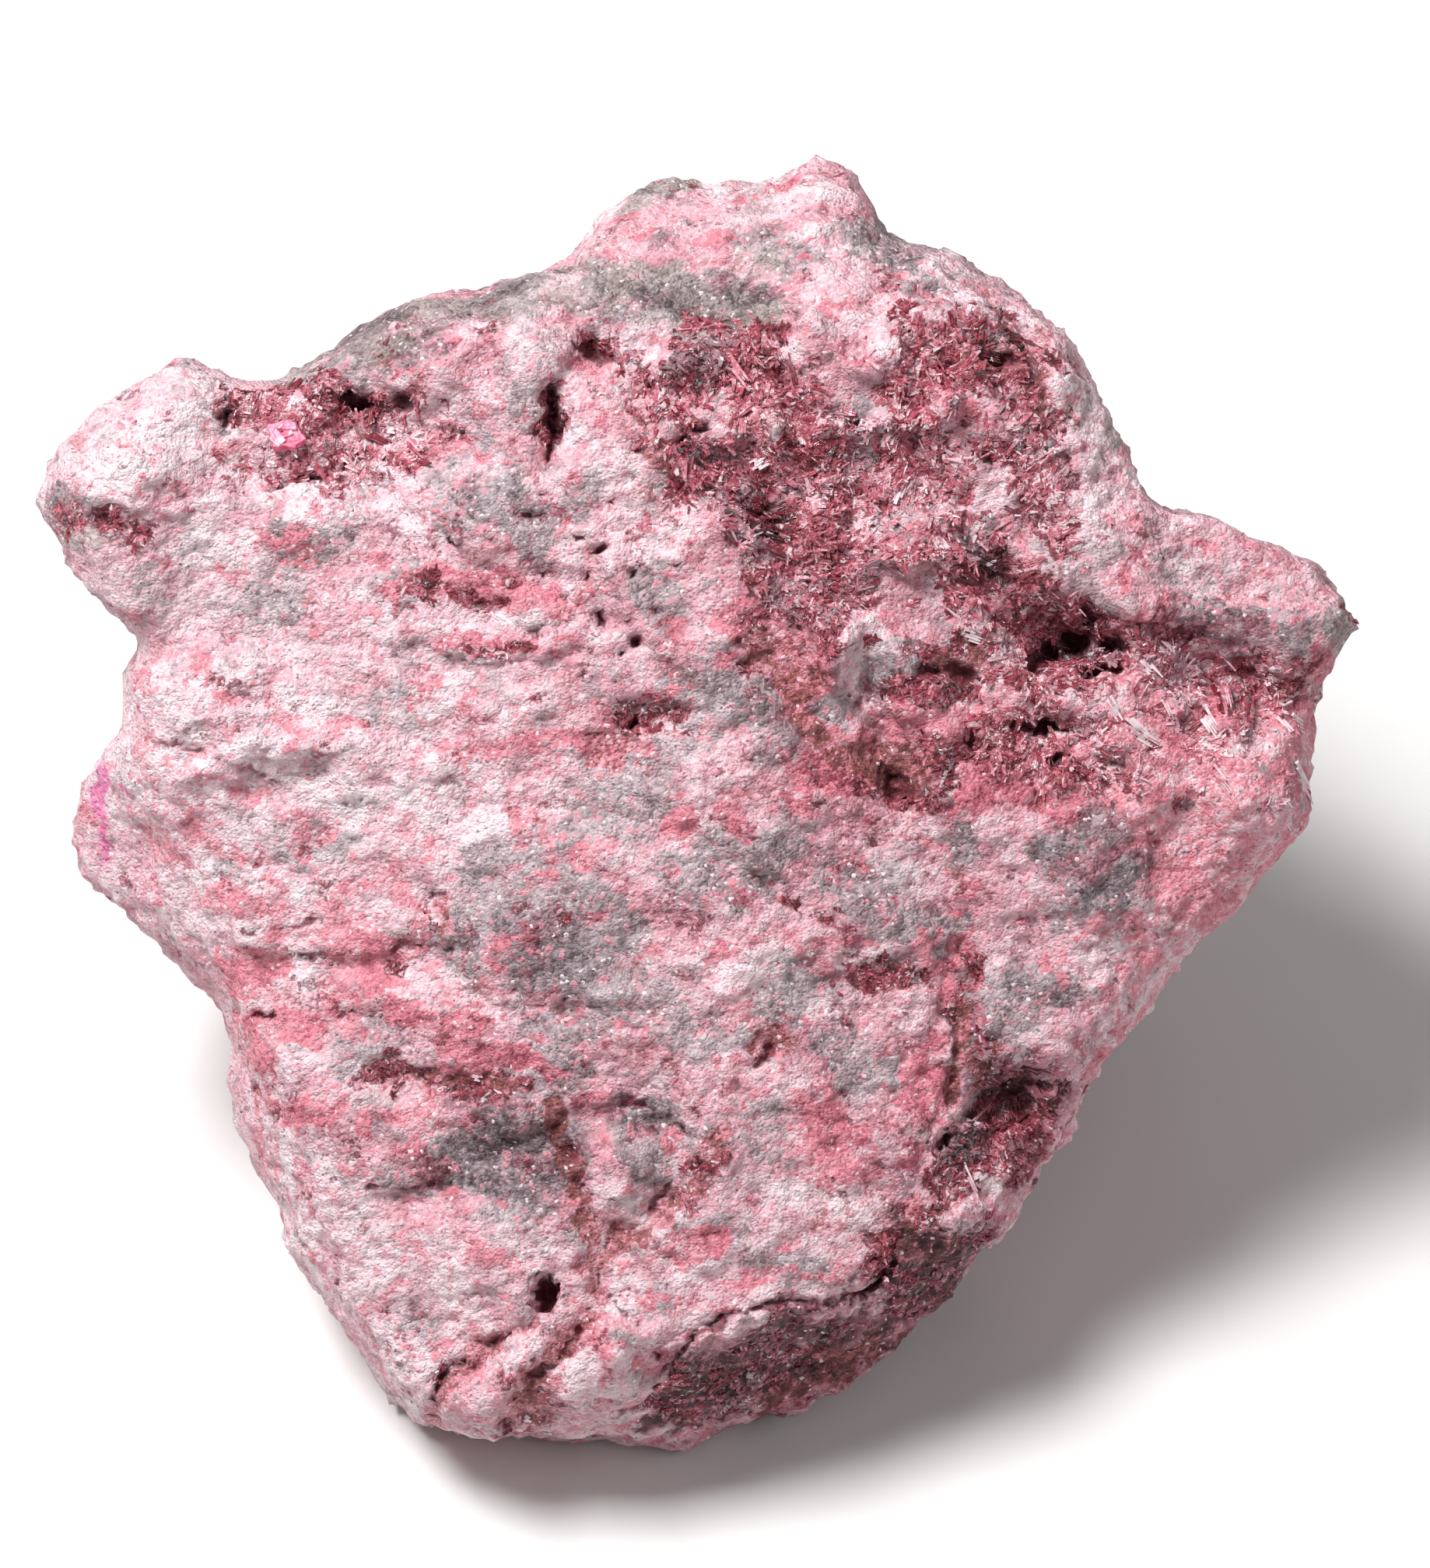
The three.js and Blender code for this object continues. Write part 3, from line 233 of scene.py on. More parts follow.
# where each kind of ground is common: its share elsewhere on the face and on the hidden sides, the size in mm
# of its lumps, its ovals, and its bands with their half width in mm and x, y of each bend
grounds = {
    "white": {"elsewhere": 0.2, "hidden": 0.18, "size": 4.0, "ovals": [
        (560, 680, 70, 34), (480, 650, 60, 20), (235, 960, 50, 26), (1060, 1530, 60, 40),
        (235, 890, 70, 38), (330, 970, 110, 22, -14), (500, 1030, 90, 24, -10), (170, 590, 70, 50),
        (260, 560, 30, 50), (430, 660, 70, 26), (500, 600, 40, 30), (690, 490, 60, 40),
        (700, 400, 60, 30, -10), (1110, 840, 46, 40), (1060, 800, 24, 20), (600, 1050, 50, 26),
        (780, 1330, 22, 16), (610, 1180, 16, 12), (1280, 640, 36, 34), (1340, 735, 34, 30),
        # the small ovals on the right near (1455, 930), (1475, 860), (1250, 825), (1530, 860), (1635, 940)
        # and (1660, 1000) are painted glints
        (1400, 520, 40, 80, 14), (1455, 930, 26, 30), (1475, 860, 14, 12), (1250, 825, 16, 14),
        (1530, 860, 10, 8), (1635, 940, 22, 22), (1150, 1130, 50, 16), (960, 1230, 60, 30),
        (1100, 1240, 40, 24), (520, 1760, 30, 60), (470, 1640, 60, 30), (760, 1760, 60, 40),
        (1240, 1525, 40, 16), (1180, 1550, 40, 12), (300, 700, 50, 40), (560, 900, 60, 30),
        (800, 470, 40, 20), (390, 1640, 50, 140, -14), (930, 1010, 40, 20), (1000, 560, 20, 12),
        (1155, 540, 8, 30, 20), (1165, 620, 8, 30, 20), (400, 1000, 60, 20), (350, 1540, 40, 30),
        (450, 1500, 50, 20), (640, 1310, 40, 16), (730, 700, 40, 30), (1040, 250, 60, 20),
        (820, 1640, 40, 30), (1085, 385, 60, 40), (1170, 370, 60, 36, 20), (1230, 400, 40, 24),
        (1130, 430, 26, 40), (850, 690, 60, 50), (1380, 1110, 16, 12), (1600, 1000, 14, 40, -40),
        (1660, 1000, 12, 26),
    ], "bands": [
        (0.5, [(660, 450), (700, 400), (740, 380), (790, 345), (830, 330)]),
        (0.35, [(770, 430), (810, 405), (860, 400), (900, 425)]),
        (0.5, [(990, 410), (1060, 370), (1130, 350), (1190, 360)]),
        (0.4, [(950, 360), (1000, 320), (1070, 300)]),
        (0.35, [(480, 470), (520, 440), (590, 420), (640, 430)]),
    ]},
    # the grey ovals under the ledge near (1590, 800) and in the recess under the step near (640, 1480) are
    # partly painted shade
    "grey": {"elsewhere": 0.1, "hidden": 0.24, "size": 4.5, "ovals": [
        (770, 1275, 90, 62), (660, 1490, 100, 50), (690, 1370, 50, 30), (760, 1430, 50, 30),
        (820, 1425, 60, 22, 10), (890, 390, 110, 42), (1000, 332, 60, 26), (1120, 300, 60, 22, -10),
        (850, 240, 38, 26), (1180, 390, 44, 20), (1140, 345, 60, 22, 25), (1250, 350, 40, 24, 20),
        (630, 655, 88, 66), (380, 770, 36, 36), (520, 915, 44, 26), (720, 1200, 120, 105),
        (640, 1110, 60, 46), (1390, 1110, 62, 88), (1335, 1258, 54, 32), (1222, 1085, 24, 58),
        (625, 1480, 84, 60), (965, 1440, 50, 60), (830, 1460, 60, 50), (900, 870, 60, 40),
        (840, 1010, 90, 60), (1000, 930, 90, 60), (940, 1120, 80, 50), (235, 470, 26, 22),
        (190, 752, 22, 18), (100, 655, 30, 14), (500, 880, 50, 26), (1100, 530, 24, 22),
        (1590, 800, 90, 22, 18), (1585, 915, 14, 40), (1560, 860, 60, 24, 10), (1140, 860, 34, 44),
        (1290, 1310, 60, 40), (870, 1310, 70, 36), (1030, 1270, 60, 36), (700, 1080, 60, 40),
        (560, 620, 30, 24), (480, 480, 60, 20, -22), (640, 400, 70, 20, -14), (480, 1230, 50, 24),
        (470, 1340, 50, 34), (420, 1090, 50, 24), (300, 1110, 34, 20), (880, 620, 40, 26),
        (850, 760, 40, 50), (1200, 1640, 50, 40, -30), (1060, 1740, 40, 20, -30), (800, 1700, 20, 12),
        (900, 1560, 50, 26), (1020, 1600, 46, 20), (1500, 560, 20, 24), (560, 1700, 26, 18),
        (740, 1560, 26, 26), (1100, 1130, 70, 40), (1180, 1180, 60, 40), (420, 700, 60, 24),
        (540, 760, 40, 30), (760, 640, 40, 30), (1100, 1350, 60, 44),
    ]},
    "rose": {"elsewhere": 0.16, "hidden": 0.2, "size": 2.6, "ovals": [
        (250, 1090, 50, 26), (330, 1150, 70, 26), (430, 1190, 70, 30), (380, 1300, 80, 26),
        (300, 1010, 60, 20, 10), (200, 870, 24, 16), (420, 940, 60, 14), (250, 1000, 20, 30),
        (1600, 1090, 90, 80, -30), (1500, 1010, 90, 30), (1570, 1110, 160, 120), (1450, 1000, 190, 60),
        (1520, 1240, 80, 80), (1200, 940, 90, 40), (1590, 1060, 90, 90), (1500, 900, 130, 50),
        (1650, 960, 50, 80), (1430, 1200, 60, 40), (480, 1240, 60, 30), (570, 1320, 50, 22),
        (640, 1360, 60, 20), (1060, 1470, 50, 60), (450, 935, 40, 16), (370, 930, 70, 8),
        (330, 1240, 50, 30), (230, 1060, 50, 40), (780, 1100, 40, 30), (790, 960, 60, 24),
        (1230, 1240, 30, 60), (1250, 1000, 60, 40), (1080, 1000, 60, 30), (600, 760, 90, 16),
        (640, 820, 70, 16), (1180, 1380, 30, 60), (900, 1590, 60, 24), (1000, 1620, 70, 14),
        (540, 600, 20, 20), (950, 800, 50, 40), (1020, 860, 40, 40), (1700, 860, 30, 60),
        (1460, 1330, 40, 60), (420, 1410, 60, 20), (350, 1330, 30, 40), (525, 484, 14, 9), (480, 478, 9, 7),
        (1025, 338, 12, 8), (915, 392, 8, 7), (540, 1290, 50, 16), (670, 960, 50, 20), (880, 1060, 30, 20),
        (1300, 990, 90, 50), (1420, 1410, 30, 40), (550, 1480, 30, 30), (500, 1430, 40, 20),
        (1080, 680, 20, 60, 30), (840, 1580, 40, 16, -30),
    ]},
    "wine": {"elsewhere": 0.035, "hidden": 0.09, "size": 2.8, "ovals": [
        (440, 558, 124, 50, 4), (340, 540, 46, 40), (410, 622, 50, 14, 8), (765, 465, 30, 9, 32),
        (712, 545, 18, 40), (930, 490, 100, 60), (1240, 470, 100, 60), (1100, 600, 170, 70),
        (1010, 680, 120, 60, 25), (1250, 740, 90, 60, 30), (1050, 760, 90, 70), (1330, 600, 40, 120),
        (1360, 840, 110, 50), (1500, 870, 70, 30), (1640, 870, 60, 40), (1730, 790, 24, 24),
        (1200, 870, 60, 40), (1150, 990, 60, 40), (840, 930, 60, 22), (1000, 850, 40, 30),
        (1290, 1430, 80, 70), (1230, 1480, 50, 60), (990, 1330, 40, 26), (1150, 1255, 60, 20),
        (580, 1385, 105, 17), (775, 1620, 16, 20), (690, 1790, 34, 40), (570, 1790, 12, 40),
        (1000, 1740, 130, 44, -26), (1180, 1610, 60, 70), (1210, 1665, 26, 20), (130, 680, 60, 24, 8),
        (155, 510, 24, 12), (720, 1172, 14, 8), (575, 1175, 7, 34, -20), (900, 1500, 14, 34, 10),
        (1236, 1320, 22, 90, 4), (985, 1345, 34, 20, -30), (400, 1100, 10, 8), (330, 1390, 16, 9),
        (330, 1090, 12, 8), (1400, 1395, 10, 10), (880, 590, 60, 24, 25), (1340, 960, 90, 30),
        (1130, 320, 12, 8), (1060, 1180, 60, 8, 20), (870, 1770, 40, 30), (520, 1240, 30, 10),
        (960, 1790, 70, 30), (600, 770, 70, 8), (650, 830, 60, 7), (1420, 990, 60, 16),
    ]},
    # the slate ovals under the ledge near (1580, 812) and in the recess under the step near (640, 1478) are
    # partly painted shade, the rest dark grey stone
    "slate": {"elsewhere": 0.02, "hidden": 0.05, "size": 3.0, "ovals": [
        (640, 1478, 90, 50), (900, 395, 90, 30), (1150, 1250, 70, 22), (1580, 812, 100, 24, 16),
        (100, 655, 34, 12), (1320, 850, 40, 16), (720, 1210, 70, 56), (1390, 1110, 58, 80),
        (1160, 320, 50, 26, 20), (1180, 395, 40, 16), (840, 520, 20, 26), (1110, 545, 16, 16),
        (1140, 870, 40, 30), (1340, 1265, 44, 18), (840, 235, 24, 18), (640, 650, 40, 30),
        (820, 1430, 60, 20, 10), (480, 440, 60, 16, -30), (650, 385, 50, 14, -10), (1590, 900, 12, 50),
        (1500, 800, 40, 20, 20), (1270, 700, 40, 20, 40), (1400, 780, 40, 20, 60), (1010, 930, 50, 24),
        (900, 1730, 60, 16, -30), (1240, 1330, 20, 40), (760, 1010, 50, 20), (230, 770, 30, 14),
        (960, 640, 60, 16, 25), (1445, 545, 14, 10), (1500, 720, 14, 9), (1560, 740, 16, 8),
        (1180, 1010, 30, 20), (560, 1510, 40, 14),
    ]},
    "sand": {"elsewhere": 0.0, "hidden": 0.12, "size": 5.0, "ovals": [
        (420, 460, 70, 30, -40), (520, 420, 90, 34, -22), (650, 390, 90, 34, -10), (1720, 780, 26, 30),
        (770, 380, 90, 40), (900, 385, 100, 44), (850, 430, 60, 20), (840, 240, 50, 26, -10),
        (990, 350, 40, 16), (120, 690, 40, 20), (480, 435, 100, 34, -30), (1410, 570, 12, 8),
        (1720, 820, 26, 30), (1120, 320, 40, 20),
    ]},
    "rust": {"elsewhere": 0.02, "hidden": 0.06, "size": 2.6, "ovals": [
        (1010, 850, 40, 40), (690, 1795, 34, 40), (770, 1620, 22, 26), (990, 1330, 40, 26),
        (1230, 865, 30, 18), (1270, 480, 40, 24), (1330, 480, 16, 60, 8), (1050, 1770, 90, 20, -26),
        (1190, 1590, 30, 30), (860, 580, 30, 14, 20), (1240, 1340, 20, 60), (790, 965, 40, 14),
        (1120, 980, 50, 30, 30),
    ], "bands": [
        (0.75, [(712, 1400), (722, 1450), (735, 1500), (752, 1560), (770, 1590)]),
        (0.6, [(925, 1440), (912, 1475), (905, 1500), (885, 1520)]),
        (0.9, [(885, 1520), (850, 1545), (805, 1575), (780, 1605), (775, 1640)]),
        (0.75, [(700, 1650), (685, 1680), (650, 1700), (610, 1730), (570, 1790), (560, 1840)]),
        (0.75, [(760, 1670), (740, 1715), (700, 1740), (670, 1790), (650, 1840)]),
        (0.5, [(1230, 1330), (1218, 1370), (1212, 1410)]),
        (0.5, [(500, 1385), (600, 1375), (690, 1392)]),
        (0.9, [(985, 850), (1010, 900), (1080, 980), (1160, 1010)]),
        (0.3, [(200, 945), (260, 965), (350, 1000)]),
        (0.7, [(570, 1150), (592, 1200)]),
    ]},
    # partly painted shade: the dark ground along the foot edge, where the stone turns under and shade falls,
    # partly its own dark maroon
    "shadedUmber": {"elsewhere": 0.0, "hidden": 0.02, "size": 2.4, "ovals": [
        (1000, 1745, 150, 48, -26), (1110, 1690, 80, 40, -30), (1185, 1620, 60, 70, -20),
        (880, 1790, 60, 34, -20), (1180, 1572, 30, 12),
    ]},
    "magenta": {"elsewhere": 0.0, "hidden": 0.0, "size": 2.0, "ovals": [
        (130, 1030, 14, 34), (128, 1085, 8, 20), (175, 1028, 20, 6),
    ]},
}

# in part painted light and shade: some ovals lighten the left side, where the light falls, and right-hand
# slopes turned away from it, and some darken the foot edge, the ledge's underside and the recess under the
# step; the rest are the stone's own changes of tone
# broad changes of tone over the face: x, y, half width, half height, change
tones = [
    (1540, 1180, 160, 180, 0.16), (1640, 1000, 80, 160, 0.1), (1100, 640, 330, 240, -0.1),
    (1150, 1020, 260, 160, -0.12), (1400, 1230, 120, 140, 0.12), (1480, 980, 160, 80, 0.05),
    (1200, 1380, 220, 200, -0.12), (450, 1650, 220, 260, 0.12), (270, 1060, 260, 180, 0.28),
    (260, 800, 220, 120, 0.12), (190, 560, 210, 130, 0.28), (620, 980, 260, 160, 0.12),
    (1420, 600, 60, 140, 0.14), (980, 250, 160, 60, 0.1), (1240, 1090, 90, 90, -0.22),
    (1390, 1110, 70, 90, -0.22), (1000, 1760, 190, 60, -0.5), (1185, 1630, 60, 90, -0.45),
    (1080, 1700, 100, 40, -0.4), (560, 400, 240, 90, -0.14), (1530, 1230, 40, 50, 0.2),
    (1470, 1320, 40, 50, 0.2), (1410, 1410, 36, 50, 0.2), (900, 380, 180, 60, -0.12),
    (740, 400, 110, 50, -0.18), (500, 440, 100, 40, -0.26), (1060, 1530, 90, 60, 0.14),
    (1600, 820, 140, 50, -0.2), (720, 1200, 170, 150, -0.1), (640, 1485, 120, 80, -0.36),
    (700, 1390, 110, 70, -0.16), (700, 880, 260, 80, -0.06), (1550, 730, 130, 60, -0.02),
    (560, 1560, 200, 90, 0.05), (1090, 1030, 80, 70, -0.16), (740, 1270, 70, 50, 0.1),
    (345, 985, 60, 24, 0.22), (1120, 1360, 80, 70, -0.08),
]


def ovalReach(a, b, x, y, wide, high, turn=0):
    # how far out of an oval each point is: under 1 inside
    middleA, middleB = spot(x, y)
    angle = math.radians(-turn)
    alongA = (a - middleA) * math.cos(angle) + (b - middleB) * math.sin(angle)
    alongB = (b - middleB) * math.cos(angle) - (a - middleA) * math.sin(angle)
    return np.hypot(alongA * face["pixels"] / wide, alongB * face["pixels"] / high)


def fadeOf(kind, reach):
    return 1 - step(*fades[kind], reach)


def coverOf(a, b, ovals, kind):
    # 1 inside any of the ovals, fading to 0 round them
    cover = np.zeros(len(a))
    for oval in ovals:
        cover = np.maximum(cover, fadeOf(kind, ovalReach(a, b, *oval)))
    return cover


def lineReach(a, b, path):
    # distance in mm from the nearest stretch of a bent line
    nearest = np.full(len(a), 99.0)
    bends = [spot(*point) for point in path]
    for (a0, b0), (a1, b1) in zip(bends, bends[1:]):
        lengthSquared = (a1 - a0) ** 2 + (b1 - b0) ** 2
        along = np.clip(((a - a0) * (a1 - a0) + (b - b0) * (b1 - b0)) / lengthSquared, 0, 1)
        nearest = np.minimum(nearest, np.hypot(a - a0 - along * (a1 - a0), b - b0 - along * (b1 - b0)))
    return nearest


def cliffDrop(a, b, height, fade, path):
    # ground that stands up to a broken edge, right of the line as it is walked, and drops off beyond it
    bends = [spot(*point) for point in path]
    nearest, side = np.full(len(a), 99.0), np.zeros(len(a))
    for (a0, b0), (a1, b1) in zip(bends, bends[1:]):
        length = math.hypot(a1 - a0, b1 - b0)
        along = ((a - a0) * (a1 - a0) + (b - b0) * (b1 - b0)) / length
        across = ((a - a0) * (b1 - b0) - (b - b0) * (a1 - a0)) / length
        reach = np.hypot(across, np.maximum(0, np.maximum(-along, along - length)))
        closer = reach < nearest
        nearest[closer], side[closer] = reach[closer], across[closer]
    rise = height * step(-0.5, 0.35, side)
    return (rise - height * 0.5) * (1 - step(fade * 0.25, fade, nearest))


def makeRock():
    parts = []
    for name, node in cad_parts.items():
        part = bpy.data.objects.new(name + "Copy", node.data.copy())
        bpy.context.collection.objects.link(part)
        only(part)
        bpy.ops.object.mode_set(mode="EDIT")
        bpy.ops.mesh.select_all(action="SELECT")
        bpy.ops.mesh.remove_doubles(threshold=rockSizes["weld"])
        bpy.ops.object.mode_set(mode="OBJECT")
        if name != "matrix":
            movePoints(part, readPoints(part) + readPoints(part, "normal") * rockSizes["crustGrow"] * mm)
        parts.append(part)
    only(*parts)
    bpy.ops.object.join()
    rock = bpy.context.object
    rock.name = "rock"
    applyModifier(rock, "REMESH", mode="VOXEL", voxel_size=rockSizes["voxel"] * mm)
    applyModifier(rock, "SMOOTH", factor=0.5, iterations=rockSizes["softening"])
    # the side that the viewer sees gets a finer net
    towards = readPoints(rock, "normal") @ faceAxes[2]
    only(rock)
    bpy.ops.object.mode_set(mode="EDIT")
    bpy.ops.mesh.select_mode(type="FACE")
    bpy.ops.mesh.select_all(action="DESELECT")
    bpy.ops.object.mode_set(mode="OBJECT")
    for polygon in rock.data.polygons:
        polygon.select = bool(towards[polygon.vertices[0]] > rockSizes["fine"])
    bpy.ops.object.mode_set(mode="EDIT")
    bpy.ops.mesh.subdivide(number_cuts=1, smoothness=0)
    bpy.ops.mesh.select_all(action="SELECT")
    bpy.ops.mesh.vertices_smooth(factor=0.5, repeat=1)
    bpy.ops.object.mode_set(mode="OBJECT")
    return rock


def surveyRock(rock):
    # where each point of the rock lies on the face, plainly and with the wander of soft and of sharp edges
    places, outward = readPoints(rock), readPoints(rock, "normal")
    onFace = toFace(places)
    a, b, c = onFace.T
    towards = outward @ faceAxes[2]
    shiftA = clouds(onFace, wander["size"], 3, 0.6, 3.1) * wander["reach"]
    shiftB = clouds(onFace, wander["size"], 3, 0.6, 8.7) * wander["reach"]
    fineA = clouds(onFace, wander["fineSize"], 3, 0.4, 51.3) * wander["fineReach"]
    fineB = clouds(onFace, wander["fineSize"], 3, 0.4, 63.7) * wander["fineReach"]
    return SimpleNamespace(
        places=places, outward=outward, onFace=onFace, a=a, b=b, c=c, towards=towards,
        front=step(-0.5, -0.05, towards), seen=step(0.0, 0.35, towards),
        flow=onFace * (0.8, 1, 1) + np.outer(a * 0.12, (0, 1, 0)),      # the grain runs across the face
        softA=a + shiftA, softB=b + shiftB,
        sharpA=a + shiftA * wander["sharpShare"] + fineA, sharpB=b + shiftB * wander["sharpShare"] + fineB,
    )


def reliefOf(at, crumbs):
    # relief along the outward direction
    swell = clouds(at.onFace, reliefSize["swell"], 2, 0.8, 1.7)
    ledges = clouds(at.flow, reliefSize["terrace"], 3, 0.55, 5.3) * 3
    terrace = (np.floor(ledges) + step(0.30, 0.70, ledges - np.floor(ledges))) / 3
    chips = np.abs(clouds(at.flow, reliefSize["chips"], 3, 0.5, 12.9)) - 0.2
    dust = clouds(at.onFace, reliefSize["dust"], 2, 0.5, 6.6)
    return (reliefHeight["swell"] * swell + reliefHeight["terrace"] * terrace + reliefHeight["chips"] * chips
            + reliefHeight["grain"] * crumbs + reliefHeight["dust"] * dust)


def groundsOf(at):
    # a level for every kind of ground at every point: where it passes 0.5 that ground shows
    masks = {}
    for number, (name, ground) in enumerate(grounds.items()):
        cover = coverOf(at.softA, at.softB, ground["ovals"], "patch")
        share = np.maximum(ground["elsewhere"], 0.95 * cover)
        for halfWidth, path in ground.get("bands", []):
            reach = lineReach(at.sharpA, at.sharpB, path) / halfWidth
            share = np.maximum(share, 0.95 * fadeOf("band", reach))
        share = ground["hidden"] + (share - ground["hidden"]) * at.front
        pattern = even(clouds(at.flow, ground["size"], 4, 0.45, 31.7 + number * 7.9))
        masks[name] = np.clip(0.5 + 1.3 * (share - 1 + pattern), 0, 1)
        masks[name][share <= 0.001] = 0
    masks["wine"] *= 1 - 0.8 * masks["rust"]
    masks["magenta"] *= step(0.0, 0.3, at.towards)
    masks["sand"] *= 1 - 0.5 * masks["white"]
    masks["rose"] *= 1 - 0.8 * masks["sand"]
    masks["shadedUmber"] *= 1 - 0.8 * masks["white"]
    return masks


def breakEdges(at, moved):
    for oval in levelled:
        reach = ovalReach(at.a, at.b, *oval)
        ring = np.median(at.c[(reach > 1) & (reach < 1.4) & (at.towards > 0.3)])
        missing = np.maximum(0, ring - at.c) * fadeOf("levelled", reach)
        moved += faceAxes[2] * (missing * (at.c > ring - 8))[:, None] * mm
    for height, fade, path in cliffs:
        moved += faceAxes[2] * (cliffDrop(at.sharpA, at.sharpB, height, fade, path) * at.seen)[:, None] * mm


def cutHoles(at, moved):
    # holes and veins go straight back into the face; what comes back is the painted shade of each point,
    # deeper holes darker
    depth = np.zeros(len(moved))
    dark = np.zeros(len(moved))
    for x, y, wide, high, deep, *turn in holes:
        reach = ovalReach(at.sharpA, at.sharpB, x, y, wide, high, *turn)
        depth = np.maximum(depth, deep * fadeOf("hole", reach))
        dark = np.maximum(dark, min(1, deep / shadeDepth) * fadeOf("holeShade", reach))
    crack = 0.1 + 1.3 * even(clouds(at.onFace, 3.0, 3, 0.5, 44.4))      # the width comes and goes
    for halfWidth, deep, path in veins:
        reach = lineReach(at.sharpA, at.sharpB, path) / halfWidth / crack
        depth = np.maximum(depth, deep * crack * fadeOf("vein", reach))
        dark = np.maximum(dark, 0.8 * crack * fadeOf("veinShade", reach))
    moved -= faceAxes[2] * (depth * at.seen)[:, None] * mm
    return np.clip(dark, 0, 1) * at.seen


def toneOf(at, crumbs):
    # 0 is darkest and 1 is lightest
    broad = even(clouds(at.flow, 7.0, 3, 0.5, 77.1)) - 0.5
    close = even(clouds(at.flow, 2.4, 3, 0.4, 17.3)) - 0.5
    tone = 0.5 + 0.30 * broad + 0.34 * close
    for *oval, change in tones:
        tone += change * fadeOf("tone", ovalReach(at.softA, at.softB, *oval)) * at.front
    return np.clip(tone + 0.2 * np.clip(crumbs, -0.5, 0.5), 0, 1)


def carveRock(rock):
    at = surveyRock(rock)
    crumbs = 0.5 - grains(at.flow, reliefSize["grain"], 2.2)
    masks = groundsOf(at)
    relief = reliefOf(at, crumbs)
    relief *= 1 - sandFlatter * masks["sand"] * at.front
    relief += (groundRise["white"] * (masks["white"] - 0.3) + groundRise["wine"] * masks["wine"]
               + groundRise["rust"] * masks["rust"])
    moved = at.places + at.outward * relief[:, None] * mm
    breakEdges(at, moved)
    masks["dark"] = cutHoles(at, moved)
    masks["tone"] = toneOf(at, crumbs)

    # the flat underside stays on the ground
    moved[:, 2] = np.maximum(moved[:, 2], 0)
    resting = (at.places[:, 2] < 0.5 * mm) & (at.outward[:, 2] < -0.8)
    moved[resting, 2] = np.maximum(0, moved[resting, 2] * 0.2)
    movePoints(rock, moved)
    for name, mask in masks.items():
        setAttribute(rock, name, mask)
    return masks


print("rock")
rock = makeRock()
rockMasks = carveRock(rock)
only(rock)
bpy.ops.object.shade_smooth()
print("rock triangles", sum(len(polygon.vertices) - 2 for polygon in rock.data.polygons))


def shade(red, green, blue):
    # a colour from its 0 to 255 display values
    linear = [((v / 255 + 0.055) / 1.055) ** 2.4 if v > 10 else v / 255 / 12.92 for v in (red, green, blue)]
    return (*linear, 1)


# colours of the stone, its pink crystal and the floor, as display values
displayColours = {
    "dim": (160, 106, 118), "rose": (200, 106, 124), "salmon": (214, 152, 164), "pink": (228, 182, 192),
    "pale": (237, 207, 214), "frost": (245, 227, 232), "ash": (152, 139, 143), "slate": (102, 90, 95),
    "cloud": (190, 176, 181), "mauve": (184, 86, 104), "dusk": (214, 140, 154), "wine": (138, 44, 60),
    "blood": (90, 24, 36), "night": (42, 22, 26), "magenta": (232, 96, 168), "sand": (174, 161, 158),
    "olive": (118, 106, 104), "stone": (212, 201, 199), "brown": (122, 70, 64), "shadedUmber": (92, 42, 46),
    "peat": (124, 76, 80), "lilac": (170, 146, 154), "rust": (158, 86, 86), "coral": (232, 140, 155),
    "cerise": (206, 62, 104), "candy": (232, 100, 138), "blush": (242, 150, 174), "milk": (250, 222, 228),
    "floorDim": (222, 221, 220), "floorPale": (228, 227, 226),
}
colours = {name: shade(*values) for name, values in displayColours.items()}


def newNode(tree, kind, **settings):
    node = tree.nodes.new(kind)
    for name, value in settings.items():
        if name in node.inputs:
            node.inputs[name].default_value = value
        else:
            setattr(node, name, value)
    return node


def inMillimetres(tree, stretch=(1, 1, 1)):
    place = tree.nodes.new("ShaderNodeTexCoord")
    scale = newNode(tree, "ShaderNodeMapping")
    scale.inputs["Scale"].default_value = [1000 * v for v in stretch]
    tree.links.new(place.outputs["Object"], scale.inputs["Vector"])
    return scale.outputs["Vector"]


def noiseOf(tree, vector, scale, detail=3.0, roughness=0.6, distortion=0.0):
    settings = {"Scale": scale, "Detail": detail, "Roughness": roughness, "Distortion": distortion}
    node = newNode(tree, "ShaderNodeTexNoise", **settings)
    tree.links.new(vector, node.inputs["Vector"])
    return node.outputs["Fac"]


def mathOf(tree, operation, *values):
    node = newNode(tree, "ShaderNodeMath", operation=operation)
    for socket, value in zip(node.inputs, values):
        if isinstance(value, (int, float)):
            socket.default_value = value
        else:
            tree.links.new(value, socket)
    return node.outputs[0]


def sumOf(tree, first, *terms):
    total = mathOf(tree, "MULTIPLY", *first)
    for value, weight in terms:
        total = mathOf(tree, "MULTIPLY_ADD", value, weight, total)
    return total


def rangeOf(tree, value, low, high, toLow=0.0, toHigh=1.0):
    node = newNode(tree, "ShaderNodeMapRange", interpolation_type="SMOOTHSTEP")
    tree.links.new(value, node.inputs["Value"])
    for name, number in (("From Min", low), ("From Max", high), ("To Min", toLow), ("To Max", toHigh)):
        node.inputs[name].default_value = number
    return node.outputs["Result"]


def mixOf(tree, mask, first, second):
    node = newNode(tree, "ShaderNodeMix", data_type="RGBA")
    for index, value in ((0, mask), (6, first), (7, second)):
        if isinstance(value, (tuple, float, int)):
            node.inputs[index].default_value = value
        else:
            tree.links.new(value, node.inputs[index])
    return node.outputs[2]


